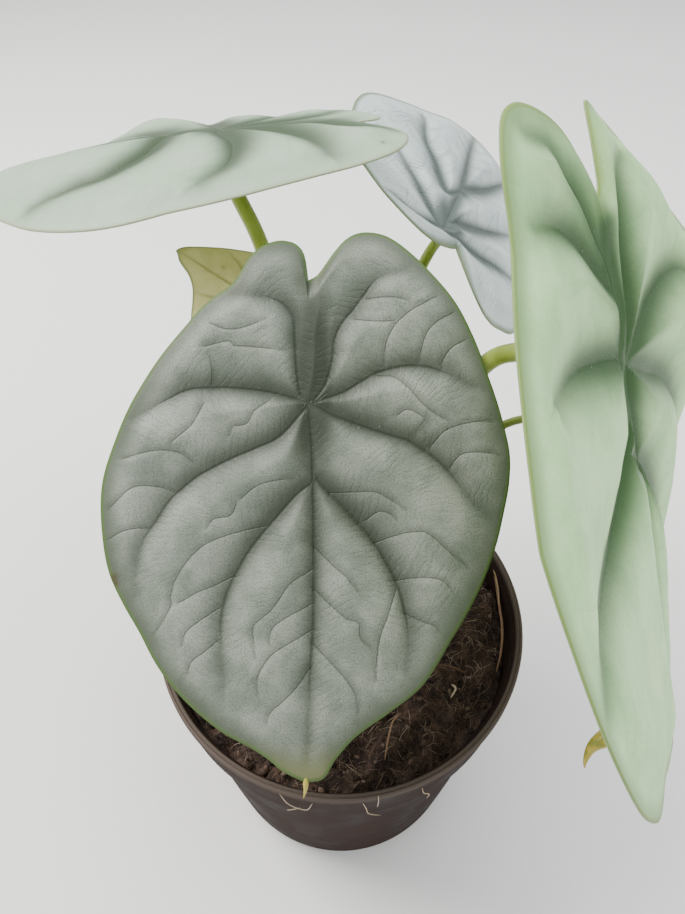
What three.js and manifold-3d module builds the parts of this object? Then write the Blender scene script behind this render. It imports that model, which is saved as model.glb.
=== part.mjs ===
// A silver dragon alocasia in a round nursery pot: six leaves on arching stalks, soil and pot.
// Millimetres, +Z up. The origin is the middle of the pot's underside, and -Y is the plant's front.

import * as THREE from "three";
import { mergeVertices } from "three/addons/utils/BufferGeometryUtils.js";
import Module from "manifold-3d";

const wasm = await Module();
wasm.setup();

// Driving dimensions

const potHeight = 105;
const rimRadius = 60;
const baseRadius = 50;
const wallThickness = 1.3;
const floorThickness = 2.4;
const collarHeight = 18;
const collarStep = 1.8;
const lipThickness = 2.2;
const potSides = 48;
const drainHoles = 6;
const drainRingRadius = 34;
const drainRadius = 4;

const clearance = 0.35;
const soilLevel = 96;
const soilLump = 1.8;
const soilRings = 6;
const seed = 20.7;

const crownRingRadius = 8.6;
const stalkRootDepth = 22;
const cormRadius = 3.6;
const cormHeight = 9;
const cormSides = 14;

const bladeThickness = 0.9;
const groovePart = 0.03;
const grooveWidthPart = 0.075;
const stalkSides = 9;
const stalkSteps = 18;

// Leaf margins: distance from the stalk's junction as a share of the tip length, by degrees from the tip

const plainMargin = [
  [0, 1.0], [5, 0.955], [10, 0.9], [18, 0.845], [28, 0.782], [38, 0.728], [50, 0.68], [60, 0.635],
  [74, 0.575], [90, 0.507], [104, 0.47], [118, 0.452], [130, 0.45], [142, 0.46], [152, 0.482],
  [160, 0.487], [166, 0.468], [172, 0.42], [176, 0.375], [180, 0.335],
];
const frontMargins = [
  [
    [0, 1.0], [3.7, 0.974], [6, 0.949], [9.2, 0.926], [14, 0.905], [19, 0.878], [25, 0.843], [30, 0.81],
    [36, 0.768], [42, 0.741], [49, 0.713], [58, 0.664], [68, 0.611], [78, 0.548], [87, 0.503],
    [97, 0.461], [109, 0.426], [120, 0.405], [130, 0.399], [138, 0.394], [145, 0.391], [151, 0.406],
    [156, 0.432], [162, 0.454], [168, 0.46], [172, 0.455], [176, 0.438], [178.5, 0.405], [180, 0.337],
  ],
  [
    [0, 1.0], [2.8, 0.99], [4.7, 0.947], [8.5, 0.896], [15, 0.855], [22, 0.82], [31, 0.752], [37, 0.719],
    [44, 0.686], [52, 0.652], [60, 0.622], [67, 0.603], [75, 0.58], [83, 0.549], [92, 0.522],
    [100, 0.506], [112, 0.498], [122, 0.499], [135, 0.5], [143, 0.506], [154, 0.515], [160, 0.506],
    [164, 0.49], [167, 0.466], [170, 0.427], [173, 0.385], [176, 0.353], [180, 0.337],
  ],
];
const rightMargins = [
  [
    [0, 1.0], [5, 0.955], [10, 0.9], [18, 0.845], [28, 0.782], [38, 0.728], [50, 0.68], [58, 0.645],
    [66, 0.608], [76, 0.56], [84, 0.535], [92, 0.515], [100, 0.486], [109, 0.463], [120, 0.447],
    [132, 0.44], [139, 0.455], [144, 0.476], [149, 0.496], [154, 0.511], [158, 0.511], [162, 0.499],
    [168, 0.465], [173, 0.424], [177, 0.366], [180, 0.3],
  ],
  [
    [0, 1.0], [5, 0.955], [10, 0.9], [18, 0.845], [28, 0.782], [38, 0.735], [50, 0.68], [60, 0.635],
    [74, 0.575], [90, 0.507], [104, 0.47], [118, 0.455], [130, 0.464], [142, 0.472], [154, 0.475],
    [161, 0.482], [165, 0.465], [169, 0.39], [173, 0.32], [180, 0.3],
  ],
];
const leftMargins = [
  [
    [0, 1.0], [5, 0.955], [10, 0.9], [18, 0.845], [28, 0.782], [38, 0.728], [50, 0.68], [60, 0.62],
    [74, 0.54], [90, 0.45], [104, 0.385], [113, 0.355], [130, 0.37], [142, 0.375], [152, 0.385],
    [160, 0.39], [166, 0.385], [172, 0.37], [176, 0.35], [180, 0.335],
  ],
  [
    [0, 1.0], [5, 0.955], [10, 0.9], [18, 0.845], [28, 0.782], [38, 0.728], [50, 0.68], [60, 0.638],
    [72, 0.588], [90, 0.507], [104, 0.47], [118, 0.452], [130, 0.456], [142, 0.478], [152, 0.495],
    [160, 0.49], [166, 0.468], [172, 0.42], [176, 0.375], [180, 0.335],
  ],
];
const backMargins = [
  [
    [0, 1.0], [6, 1.01], [12, 0.98], [20, 0.905], [28, 0.835], [38, 0.765], [50, 0.7], [60, 0.645],
    [74, 0.585], [90, 0.53], [104, 0.5], [116, 0.488], [131, 0.462], [148, 0.468], [158, 0.47],
    [166, 0.43], [173, 0.34], [180, 0.26],
  ],
  [
    [0, 1.0], [6, 0.96], [15, 0.85], [26, 0.776], [34, 0.741], [42, 0.716], [50, 0.684], [58, 0.638],
    [66, 0.588], [78, 0.54], [92, 0.48], [107, 0.437], [122, 0.437], [138, 0.47], [150, 0.484],
    [158, 0.46], [165, 0.395], [172, 0.325], [180, 0.26],
  ],
];
const oldMargins = [
  [
    [0, 1.02], [1.7, 1.013], [4.5, 0.988], [9.1, 0.92], [16, 0.831], [24.2, 0.752], [33.8, 0.682],
    [45, 0.63], [60, 0.59], [74, 0.55], [90, 0.5], [104, 0.47], [118, 0.452], [130, 0.45], [142, 0.46],
    [152, 0.482], [160, 0.487], [166, 0.468], [172, 0.42], [176, 0.375], [180, 0.335],
  ],
  [
    [0, 1.02], [1.2, 0.987], [3.6, 0.948], [5.7, 0.9], [7.9, 0.839], [11.1, 0.775], [18, 0.71],
    [25.6, 0.682], [34.6, 0.675], [42.5, 0.688], [50, 0.7], [60, 0.68], [74, 0.62], [90, 0.54],
    [104, 0.49], [118, 0.455], [130, 0.45], [142, 0.46], [152, 0.482], [160, 0.487], [166, 0.468],
    [172, 0.42], [176, 0.375], [180, 0.335],
  ],
];

// Main veins of the right half, as shares of the tip length: x across, y towards the tip

const veins = [
  [[0, 0], [0, 0.35], [0, 0.97]],
  [[0, 0.2], [0.09, 0.285], [0.19, 0.44], [0.25, 0.63]],
  [[0, 0], [0.11, 0.06], [0.24, 0.13], [0.37, 0.24], [0.44, 0.38]],
  [[0, 0], [0.15, -0.055], [0.28, -0.08], [0.39, -0.06], [0.46, 0.02]],
  [[0, 0], [0.055, -0.1], [0.09, -0.2], [0.16, -0.31], [0.22, -0.34]],
];

// Each leaf: junction in mm, the tip's heading and pitch and the blade's roll in degrees, the length from
// junction to tip, its width and lobes as shares of the plain outline, and bends in degrees:
// folds at the midrib, curls over half a blade, bends of the tip and of the lobes, and how the folds
// change towards the lobes and the tip. Pairs give the left and the right half. Each wave of a margin is
// at some degrees from the tip (below 0 on the left), over a spread of degrees, with its rise as a share.

const leaves = {
  front: {
    junction: [-8.2, 11.5, 186], heading: -90, pitch: -38, roll: 0, length: 93.3, width: 0.977, lobes: 1,
    fold: [0, 0], curl: [0, 0], tipBend: 0, lobeBend: 0, lobeFold: [0, 0], tipFold: [0, 0],
    margins: frontMargins, waves: [],
    stalkGap: 0.6, crownAngle: 240, rise: 40, via: [], neck: 20, stalkTop: 2.5, stalkRoot: 3.4, spokes: 72,
  },
  left: {
    junction: [-36.3, 93.5, 221.5], heading: 169.8, pitch: -7.6, roll: -5.3, length: 93.3, width: 1.015,
    lobes: 1.36, fold: [6.6, 5.1], curl: [3.4, 7.4], tipBend: 12.8, lobeBend: 2.7, lobeFold: [4, 0],
    tipFold: [0, 0], margins: leftMargins,
    waves: [[-46, 11, 0.05], [-62, 8, -0.03], [-135, 25, 0.03], [-16, 10, -0.04]],
    stalkGap: 0.6, crownAngle: 125, rise: 16, via: [[-9.5, 29, 149], [-24.8, 77, 192]], neck: 13,
    stalkTop: 2.5, stalkRoot: 3.4, spokes: 64,
  },
  back: {
    junction: [40.8, 103.9, 189], heading: 79.3, pitch: 0.8, roll: -30.9, length: 83.4, width: 1.09,
    lobes: 1.09, fold: [15.2, 4.5], curl: [3.3, -6.7], tipBend: 2.6, lobeBend: -31.7,
    lobeFold: [9.9, -9.9], tipFold: [-9.7, -7.8], margins: backMargins,
    waves: [],
    stalkGap: 0.95, crownAngle: 70, rise: 12, via: [[8, 30, 141], [18, 66, 163]],
    neck: 15, stalkTop: 2, stalkRoot: 3.2, spokes: 64,
  },
  right: {
    junction: [57.4, -8.3, 213.1], heading: -52.2, pitch: -62.9, roll: 10.4, length: 110.2, width: 1.135,
    lobes: 0.995, fold: [-2.8, 5.6], curl: [-20.3, -3.9], tipBend: -1.9, lobeBend: 20.3,
    lobeFold: [0.8, 13.3], tipFold: [-14.9, 30.9], margins: rightMargins,
    waves: [],
    stalkGap: 0.6, crownAngle: 22, rise: 12, via: [[19, 14, 151], [38.4, 22.6, 189], [44.2, 16.8, 197.2]],
    neck: 13, stalkTop: 2.45, stalkRoot: 3.4, spokes: 64,
  },
  old: {
    junction: [-20.5, 42.8, 192.3], heading: 148, pitch: 15, roll: -4, length: 32.5, width: 0.9,
    lobes: 1, fold: [-24, 25], curl: [5, 0], tipBend: 0, lobeBend: 10, lobeFold: [15, 0],
    tipFold: [0, 0], margins: oldMargins, waves: [],
    stalkGap: 0.9, crownAngle: 180, rise: 30, via: [], neck: 14, stalkTop: 1.3, stalkRoot: 2.4, spokes: 52,
  },
  low: {
    junction: [74.2, -17, 155], heading: -81.8, pitch: -64, roll: 22, length: 57, width: 0.37,
    lobes: 1, fold: [2, 8], curl: [-10, 4], tipBend: 0, lobeBend: 10, lobeFold: [0, 10],
    tipFold: [0, 10], margins: [plainMargin, plainMargin], waves: [],
    stalkGap: 0.6, crownAngle: -32, rise: 12, via: [[26, 8, 149], [48, 22, 168], [61, 19, 170]], neck: 10,
    stalkTop: 1.1, stalkRoot: 2.4, spokes: 52,
  },
};
const ringShares = [0.1, 0.24, 0.42, 0.62, 0.82, 1];

// Small helpers

const radians = THREE.MathUtils.degToRad;

function smooth(from, to, value) {
  return THREE.MathUtils.smoothstep(value, from, to);
}

// A seeded wavy number between about -1 and 1 for a place on the soil.
function lump(x, y) {
  const a = Math.sin(x * 0.21 + seed) * Math.cos(y * 0.17 - seed);
  const b = Math.sin(x * 0.47 - y * 0.39 + 2 * seed);
  return 0.6 * a + 0.4 * b;
}

// A closed solid from rows of points with the same count: each row is a loop, and both ends are capped.
function loft(rows) {
  const count = rows[0].length;
  const points = rows.flat();
  const faces = [];
  for (let r = 0; r < rows.length - 1; r++)
    for (let k = 0; k < count; k++) {
      const next = (k + 1) % count;
      const a = r * count + k;
      const b = r * count + next;
      faces.push([a, b, b + count], [a, b + count, a + count]);
    }
  const bottom = points.push(middle(rows[0])) - 1;
  const top = points.push(middle(rows[rows.length - 1])) - 1;
  const last = (rows.length - 1) * count;
  for (let k = 0; k < count; k++) {
    const next = (k + 1) % count;
    faces.push([bottom, next, k], [top, last + k, last + next]);
  }
  return geometryOf(points, faces);
}

function middle(row) {
  const sum = new THREE.Vector3();
  for (const point of row) sum.add(point);
  return sum.divideScalar(row.length);
}

function geometryOf(points, faces) {
  const geometry = new THREE.BufferGeometry();
  const flat = points.flatMap((point) => point.toArray());
  geometry.setAttribute("position", new THREE.Float32BufferAttribute(flat, 3));
  geometry.setIndex(faces.flat());
  return geometry;
}

function solidOf(geometry) {
  const bare = new THREE.BufferGeometry();
  bare.setAttribute("position", geometry.getAttribute("position"));
  if (geometry.index) bare.setIndex(geometry.index);
  const merged = mergeVertices(bare, 1e-3);
  const vertProperties = new Float32Array(merged.attributes.position.array);
  const triVerts = new Uint32Array(merged.index.array);
  return new wasm.Manifold(new wasm.Mesh({ numProp: 3, vertProperties, triVerts }));
}

function geometryFrom(solid) {
  const mesh = solid.getMesh();
  const geometry = new THREE.BufferGeometry();
  const positions = new Float32Array(mesh.numVert * 3);
  for (let i = 0; i < mesh.numVert; i++)
    for (let axis = 0; axis < 3; axis++)
      positions[3 * i + axis] = mesh.vertProperties[mesh.numProp * i + axis];
  geometry.setAttribute("position", new THREE.BufferAttribute(positions, 3));
  geometry.setIndex(new THREE.BufferAttribute(new Uint32Array(mesh.triVerts), 1));
  return geometry;
}

// A turned solid about Z from [radius, height] points that go up the outside and down the inside.
function turned(profile, sides) {
  const points = profile.map(([radius, height]) => new THREE.Vector2(radius, height));
  const geometry = new THREE.LatheGeometry(points, sides);
  geometry.rotateX(Math.PI / 2);
  return geometry;
}

// The radius of a margin at an angle, along a smooth line through its points.
function marginRadius(margin, angle) {
  let i = 0;
  while (i < margin.length - 2 && angle > margin[i + 1][0]) i++;
  const slope = (j) => {
    const before = margin[Math.max(j - 1, 0)];
    const after = margin[Math.min(j + 1, margin.length - 1)];
    return (after[1] - before[1]) / (after[0] - before[0]);
  };
  const [angle0, radius0] = margin[i];
  const [angle1, radius1] = margin[i + 1];
  const step = angle1 - angle0;
  const t = (angle - angle0) / step;
  const t2 = t * t;
  const t3 = t2 * t;
  return (
    (2 * t3 - 3 * t2 + 1) * radius0 +
    (t3 - 2 * t2 + t) * step * slope(i) +
    (3 * t2 - 2 * t3) * radius1 +
    (t3 - t2) * step * slope(i + 1)
  );
}

// Vein lines drawn once, as points close together.
const veinLines = veins.map((line) =>
  new THREE.SplineCurve(line.map(([x, y]) => new THREE.Vector2(x, y))).getPoints(24),
);

function distanceToVeins(x, y) {
  const place = new THREE.Vector2(Math.abs(x), y);
  let nearest = Infinity;
  for (const line of veinLines)
    for (const point of line) nearest = Math.min(nearest, place.distanceTo(point));
  return nearest;
}

// Leaf blades

// The leaf's own axes: towards the tip, out of the upper face, and to its right.
function leafAxes(leaf) {
  const heading = radians(leaf.heading);
  const pitch = radians(leaf.pitch);
  const roll = radians(leaf.roll);
  const flat = Math.cos(pitch);
  const tip = new THREE.Vector3(flat * Math.cos(heading), flat * Math.sin(heading), Math.sin(pitch));
  const level = new THREE.Vector3(0, 0, 1).addScaledVector(tip, -tip.z).normalize();
  const side = new THREE.Vector3().crossVectors(level, tip);
  const up = level.multiplyScalar(Math.cos(roll)).addScaledVector(side, Math.sin(roll));
  return { tip, up, right: new THREE.Vector3().crossVectors(up, tip) };
}

// How far the upper face stands over the bent blade: the cushions between the veins, flat at the margin.
function cushion(leaf, x, y, share) {
  const gap = distanceToVeins(x, y) / grooveWidthPart;
  const swell = 1 - Math.exp(-gap * gap);
  return leaf.length * groovePart * swell * (1 - smooth(0.8, 1, share));
}

// Waves of the margin: each lifts it by a share of the length about an angle, over a spread in degrees.
function wave(leaf, angle, share) {
  let height = 0;
  for (const [at, spread, rise] of leaf.waves) height += rise * Math.exp(-(((angle - at) / spread) ** 2));
  return leaf.length * height * share * share;
}

// A point of the bent blade for a place on the flat leaf, x across and y towards the tip, as shares.
function bladePoint(leaf, axes, x, y, lift) {
  const side = x < 0 ? 0 : 1;
  const towardsLobe = Math.max(0, -y) / 0.44;
  const towardsTip = Math.max(0, y);
  const fold = leaf.fold[side] + leaf.lobeFold[side] * towardsLobe + leaf.tipFold[side] * towardsTip;
  const start = radians(fold);
  const half = 0.5 * leaf.length;
  const turn = (radians(leaf.curl[side]) || 1e-5) / half;
  const across = Math.abs(x) * leaf.length;
  const end = start + turn * across;
  const sideways = ((Math.sin(end) - Math.sin(start)) / turn) * (x < 0 ? -1 : 1);
  const down = (Math.cos(end) - Math.cos(start)) / turn + lift;
  const bendRate = (radians(y > 0 ? leaf.tipBend : leaf.lobeBend) || 1e-5) / leaf.length;
  const bend = bendRate * y * leaf.length;
  const along = Math.sin(bend) / bendRate + down * Math.sin(bend);
  const height = (Math.cos(bend) - 1) / bendRate + down * Math.cos(bend);
  return new THREE.Vector3(...leaf.junction)
    .addScaledVector(axes.tip, along)
    .addScaledVector(axes.up, height)
    .addScaledVector(axes.right, sideways);
}

// Spokes from the junction, closer together round the notch between the lobes.
function spokeAngles(leaf) {
  const half = leaf.spokes / 2;
  const coarse = Math.round(half * 0.66);
  const right = [];
  for (let k = 1; k < half; k++)
    right.push(k < coarse ? (140 * k) / coarse : 140 + (40 * (k - coarse)) / (half - coarse));
  const left = right.map((angle) => -angle).reverse();
  return [0, ...right, 180, ...left];
}

function bladeGeometry(leaf) {
  const axes = leafAxes(leaf);
  const angles = spokeAngles(leaf);
  const count = angles.length;
  const points = [];
  for (const face of [0.5, -0.5]) {
    const lift = face * bladeThickness;
    points.push(bladePoint(leaf, axes, 0, 0, lift));
    for (const share of ringShares)
      for (const angle of angles) {
        const margin = leaf.margins[angle < 0 ? 0 : 1];
        const reach = marginRadius(margin, Math.abs(angle)) * share;
        const x = Math.sin(radians(angle)) * reach * leaf.width;
        const flatY = Math.cos(radians(angle)) * reach;
        const y = flatY < 0 ? flatY * leaf.lobes : flatY;
        const rise = cushion(leaf, x, y, share) + wave(leaf, angle, share);
        points.push(bladePoint(leaf, axes, x, y, lift + rise));
      }
  }
  const layer = 1 + ringShares.length * count;
  const faces = [];
  const both = (a, b, c) => faces.push([a, b, c], [layer + a, layer + c, layer + b]);
  for (let k = 0; k < count; k++) {
    const next = (k + 1) % count;
    both(0, 1 + k, 1 + next);
    for (let ring = 0; ring < ringShares.length - 1; ring++) {
      const inner = 1 + ring * count;
      const outer = inner + count;
      both(inner + k, outer + k, outer + next);
      both(inner + k, outer + next, inner + next);
    }
    const edge = 1 + (ringShares.length - 1) * count;
    faces.push([edge + k, layer + edge + k, layer + edge + next]);
    faces.push([edge + k, layer + edge + next, edge + next]);
  }
  return geometryOf(points, faces);
}

// Leaf stalks

// The stalk rises from the crown, arches outwards and turns to meet the blade's underside.
function stalkCurve(leaf) {
  const { up } = leafAxes(leaf);
  const angle = radians(leaf.crownAngle);
  const foot = new THREE.Vector3(Math.cos(angle), Math.sin(angle), 0).multiplyScalar(crownRingRadius);
  foot.z = soilLevel - stalkRootDepth;
  const under = new THREE.Vector3(...leaf.junction).addScaledVector(up, -bladeThickness / 2 - leaf.stalkGap);
  const points = [
    foot,
    foot.clone().setZ(soilLevel),
    foot.clone().setZ(soilLevel + leaf.rise),
    ...leaf.via.map((place) => new THREE.Vector3(...place)),
    under.clone().addScaledVector(up, -leaf.neck),
    under,
  ];
  return new THREE.CatmullRomCurve3(points, false, "centripetal");
}

function stalkGeometry(leaf, grow) {
  const curve = stalkCurve(leaf);
  const frames = curve.computeFrenetFrames(stalkSteps, false);
  const rows = [];
  for (let i = 0; i <= stalkSteps; i++) {
    const t = i / stalkSteps;
    const neck = i === stalkSteps ? 0.75 : 1;
    const radius = THREE.MathUtils.lerp(leaf.stalkRoot, leaf.stalkTop, smooth(0, 0.8, t)) * neck + grow;
    const centre = curve.getPointAt(t);
    if (i === 0) centre.z -= grow;
    const row = [];
    for (let k = 0; k < stalkSides; k++) {
      const turn = (2 * Math.PI * k) / stalkSides;
      row.push(
        centre
          .clone()
          .addScaledVector(frames.normals[i], radius * Math.cos(turn))
          .addScaledVector(frames.binormals[i], radius * Math.sin(turn)),
      );
    }
    rows.push(row);
  }
  return loft(rows);
}

// Pot

function potGeometry() {
  const taper = (rimRadius - collarStep - baseRadius) / potHeight;
  const outerAt = (height) => baseRadius + taper * height;
  const collarFoot = potHeight - collarHeight;
  const body = turned(
    [
      [0, 0],
      [baseRadius - 1.5, 0],
      [baseRadius, 1.5],
      [outerAt(collarFoot - 2), collarFoot - 2],
      [outerAt(collarFoot) + collarStep, collarFoot],
      [rimRadius, potHeight - 1],
      [rimRadius - 0.6, potHeight],
      [rimRadius - lipThickness, potHeight],
      [rimRadius - lipThickness, potHeight - 2.5],
      [innerWall(potHeight - 4), potHeight - 4],
      [innerWall(floorThickness), floorThickness],
      [0, floorThickness],
    ],
    potSides,
  );
  let pot = solidOf(body);
  for (let k = 0; k < drainHoles; k++) {
    const angle = (2 * Math.PI * k) / drainHoles;
    const drill = new THREE.CylinderGeometry(drainRadius, drainRadius, 4 * floorThickness, 16);
    drill.rotateX(Math.PI / 2);
    drill.translate(drainRingRadius * Math.cos(angle), drainRingRadius * Math.sin(angle), 0);
    pot = pot.subtract(solidOf(drill));
  }
  return geometryFrom(pot);
}

function innerWall(height) {
  const taper = (rimRadius - collarStep - baseRadius) / potHeight;
  return baseRadius + taper * height - wallThickness;
}

// Corm and soil

function cormGeometry(grow) {
  const foot = soilLevel - stalkRootDepth;
  return turned(
    [
      [0, foot - grow],
      [cormRadius + grow, foot - grow],
      [cormRadius + grow, soilLevel + 2],
      [cormRadius * 0.7 + grow, soilLevel + cormHeight * 0.7],
      [0, soilLevel + cormHeight + grow],
    ],
    cormSides,
  );
}

function soilGeometry() {
  const rings = [];
  const ring = (radius, height) => {
    const row = [];
    for (let k = 0; k < potSides; k++) {
      const angle = (2 * Math.PI * k) / potSides;
      const x = radius * Math.cos(angle);
      const y = radius * Math.sin(angle);
      row.push(new THREE.Vector3(x, y, height(x, y)));
    }
    rings.push(row);
  };
  const foot = floorThickness + clearance;
  ring(innerWall(foot) - clearance, () => foot);
  const edge = innerWall(soilLevel - 4) - clearance;
  ring(edge, () => soilLevel - 4);
  for (let i = 0; i < soilRings; i++) {
    const share = 1 - i / soilRings;
    const sag = 1.5 * share * share;
    ring((edge - 1.5) * share, (x, y) => soilLevel - sag + soilLump * lump(x, y));
  }
  let soil = solidOf(loft(rings));
  soil = soil.subtract(solidOf(cormGeometry(clearance)));
  for (const leaf of Object.values(leaves)) soil = soil.subtract(solidOf(stalkGeometry(leaf, clearance)));
  return geometryFrom(soil);
}

// Materials

function finish(color, roughness, metalness = 0) {
  return new THREE.MeshStandardMaterial({ color, roughness, metalness });
}

const bladeFinish = {
  front: () => finish("#98a297", 0.5),
  left: () => finish("#c2ccbe", 0.5),
  back: () => finish("#adb5b6", 0.5),
  right: () => finish("#b2c3ab", 0.5),
  old: () => finish("#a09967", 0.6),
  low: () => finish("#9aa56a", 0.6),
};

// Assembly

const plant = new THREE.Group();

function add(name, geometry, material) {
  const mesh = new THREE.Mesh(geometry, material);
  mesh.name = name;
  plant.add(mesh);
}

add("pot", potGeometry(), finish("#3a3532", 0.55));
add("soil", soilGeometry(), finish("#35281f", 0.95));
add("corm", cormGeometry(0), finish("#6b5138", 0.85));
for (const [name, leaf] of Object.entries(leaves)) {
  add("blade_" + name, bladeGeometry(leaf), bladeFinish[name]());
  add("stalk_" + name, stalkGeometry(leaf, 0), finish("#8a9a35", 0.45));
}

export default plant;
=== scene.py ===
# A silver dragon alocasia in its nursery pot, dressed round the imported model. Lengths are in metres.

import math

import bpy
import numpy as np
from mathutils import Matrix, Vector, kdtree, noise


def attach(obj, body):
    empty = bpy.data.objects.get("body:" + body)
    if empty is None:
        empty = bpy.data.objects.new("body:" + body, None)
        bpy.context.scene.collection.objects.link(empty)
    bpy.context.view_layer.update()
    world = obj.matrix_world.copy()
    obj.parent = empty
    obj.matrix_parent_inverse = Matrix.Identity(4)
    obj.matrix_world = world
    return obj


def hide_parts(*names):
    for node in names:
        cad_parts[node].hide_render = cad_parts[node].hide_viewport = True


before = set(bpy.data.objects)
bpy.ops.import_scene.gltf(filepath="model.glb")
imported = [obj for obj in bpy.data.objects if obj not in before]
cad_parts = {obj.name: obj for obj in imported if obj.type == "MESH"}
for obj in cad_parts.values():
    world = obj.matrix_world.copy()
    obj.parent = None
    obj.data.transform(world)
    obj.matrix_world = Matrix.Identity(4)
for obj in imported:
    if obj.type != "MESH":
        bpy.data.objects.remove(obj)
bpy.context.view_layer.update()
mm = 0.001
print("frame loaded:", len(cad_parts), "nodes")


def linear(hexColour):
    # an sRGB hex value as the linear colour that a shader wants
    parts = [int(hexColour[i:i + 2], 16) / 255 for i in (1, 3, 5)]
    return tuple(c / 12.92 if c <= 0.04045 else ((c + 0.055) / 1.055) ** 2.4 for c in parts) + (1.0,)


def feed(tree, node, links):
    # gives a node's inputs values, sockets or nodes: a Mix node's colour, of any other its first output
    for key, value in links.items():
        if isinstance(value, bpy.types.Node):
            value = value.outputs[2 if value.bl_idname == "ShaderNodeMix" else 0]
        if isinstance(value, bpy.types.NodeSocket):
            tree.links.new(value, node.inputs[key])
        else:
            node.inputs[key].default_value = value


def addNode(tree, kind, links=None, stops=None, **settings):
    # one node with its settings, its links and, on a ramp, its stops
    node = tree.nodes.new("ShaderNode" + kind)
    for key, value in settings.items():
        setattr(node, key, value)
    if stops:
        ramp = node.color_ramp
        while len(ramp.elements) < len(stops):
            ramp.elements.new(0.5)
        for element, (place, colour) in zip(ramp.elements, stops):
            element.position = place
            element.color = linear(colour)
    feed(tree, node, links or {})
    return node


def newMaterial(name, **values):
    # a principled material; values are set on the shader's own sockets
    material = bpy.data.materials.new(name)
    material.use_nodes = True
    shader = material.node_tree.nodes["Principled BSDF"]
    for key, value in values.items():
        shader.inputs[key.replace("_", " ")].default_value = value
    return material, material.node_tree, shader


def deselect():
    if bpy.context.object and bpy.context.object.mode != "OBJECT":
        bpy.ops.object.mode_set(mode="OBJECT")
    bpy.ops.object.select_all(action="DESELECT")


def only(obj):
    deselect()
    obj.select_set(True)
    bpy.context.view_layer.objects.active = obj
    return obj


def points(obj):
    flat = np.empty(len(obj.data.vertices) * 3)
    obj.data.vertices.foreach_get("co", flat)
    return flat.reshape(-1, 3)


def movePoints(obj, places):
    obj.data.vertices.foreach_set("co", np.asarray(places, float).ravel())
    obj.data.update()


def mark(obj, name, values):
    # a number, or a row of three, for each vertex, which the material reads by its name
    values = np.asarray(values, float)
    kind = "FLOAT" if values.ndim == 1 else "FLOAT_VECTOR"
    layer = obj.data.attributes.new(name, kind, "POINT")
    layer.data.foreach_set("value" if values.ndim == 1 else "vector", values.ravel())


def dress(obj, material, node=None):
    obj.data.materials.clear()
    obj.data.materials.append(material)
    only(obj)
    bpy.ops.object.shade_smooth()
    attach(obj, "root")
    if node:
        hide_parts(node)
    return obj


def smoothStep(low, high, value):
    t = np.clip((value - low) / (high - low), 0, 1)
    return t * t * (3 - 2 * t)


def faceOutward(obj):
    only(obj)
    bpy.ops.object.mode_set(mode="EDIT")
    bpy.ops.mesh.select_all(action="SELECT")
    bpy.ops.mesh.normals_make_consistent(inside=False)
    bpy.ops.object.mode_set(mode="OBJECT")


def squareGrid(name, cells):
    # a flat grid, and for each of its points the distance from the middle and the angle on a disc
    deselect()
    bpy.ops.mesh.primitive_grid_add(x_subdivisions=cells, y_subdivisions=cells, size=2)
    grid = bpy.context.object
    grid.name = grid.data.name = name
    a, b = points(grid)[:, :2].T
    wide = np.abs(a) > np.abs(b)
    safeA, safeB = np.where(a == 0, 1e-9, a), np.where(b == 0, 1e-9, b)
    turn = np.where(wide, np.pi / 4 * b / safeA, np.pi / 2 - np.pi / 4 * a / safeB)
    return grid, np.maximum(np.abs(a), np.abs(b)), np.where(wide, a, b), turn


def treeOf(places):
    tree = kdtree.KDTree(len(places))
    for i, place in enumerate(places):
        tree.insert(place, i)
    tree.balance()
    return tree


def meshFrom(name, places, faces):
    mesh = bpy.data.meshes.new(name)
    mesh.from_pydata([tuple(p) for p in places], [], [tuple(f) for f in faces])
    obj = bpy.data.objects.new(name, mesh)
    bpy.context.collection.objects.link(obj)
    return only(obj)


# The camera is a phone held in front of the plant, looking down on it
cameraLook = {"place": (0.0006, -0.111, 0.2945), "tilt": 43.4, "lens": 25.2, "sensor": 36.0}
cameraData = bpy.data.cameras.new("camera")
cameraData.lens = cameraLook["lens"]
cameraData.sensor_width = cameraLook["sensor"]
cameraData.clip_start = 0.01
cameraData.clip_end = 20
camera = bpy.data.objects.new("camera", cameraData)
camera.location = cameraLook["place"]
camera.rotation_euler = (math.radians(cameraLook["tilt"]), 0, 0)
bpy.context.collection.objects.link(camera)
bpy.context.scene.camera = camera
print("camera placed")


# Margins as in the solid: from the junction to the edge in thousandths of the length, by degrees from
# the tip, for the left half and the right one
plainMargin = [
    (0, 1000), (5, 955), (10, 900), (18, 845), (28, 782), (38, 728), (50, 680), (60, 635), (74, 575),
    (90, 507), (104, 470), (118, 452), (130, 450), (142, 460), (152, 482), (160, 487), (166, 468),
    (172, 420), (176, 375), (180, 335)]
frontMargins = [
    [(0, 1000), (3.7, 974), (6, 949), (9.2, 926), (14, 905), (19, 878), (25, 843), (30, 810), (36, 768),
    (42, 741), (49, 713), (58, 664), (68, 611), (78, 548), (87, 503), (97, 461), (109, 426), (120, 405),
    (130, 399), (138, 394), (145, 391), (151, 406), (156, 432), (162, 454), (168, 460), (172, 455),
    (176, 438), (178.5, 405), (180, 337)],
    [(0, 1000), (2.8, 990), (4.7, 947), (8.5, 896), (15, 855), (22, 820), (31, 752), (37, 719), (44, 686),
    (52, 652), (60, 622), (67, 603), (75, 580), (83, 549), (92, 522), (100, 506), (112, 498), (122, 499),
    (135, 500), (143, 506), (154, 515), (160, 506), (164, 490), (167, 466), (170, 427), (173, 385),
    (176, 353), (180, 337)]]
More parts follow.
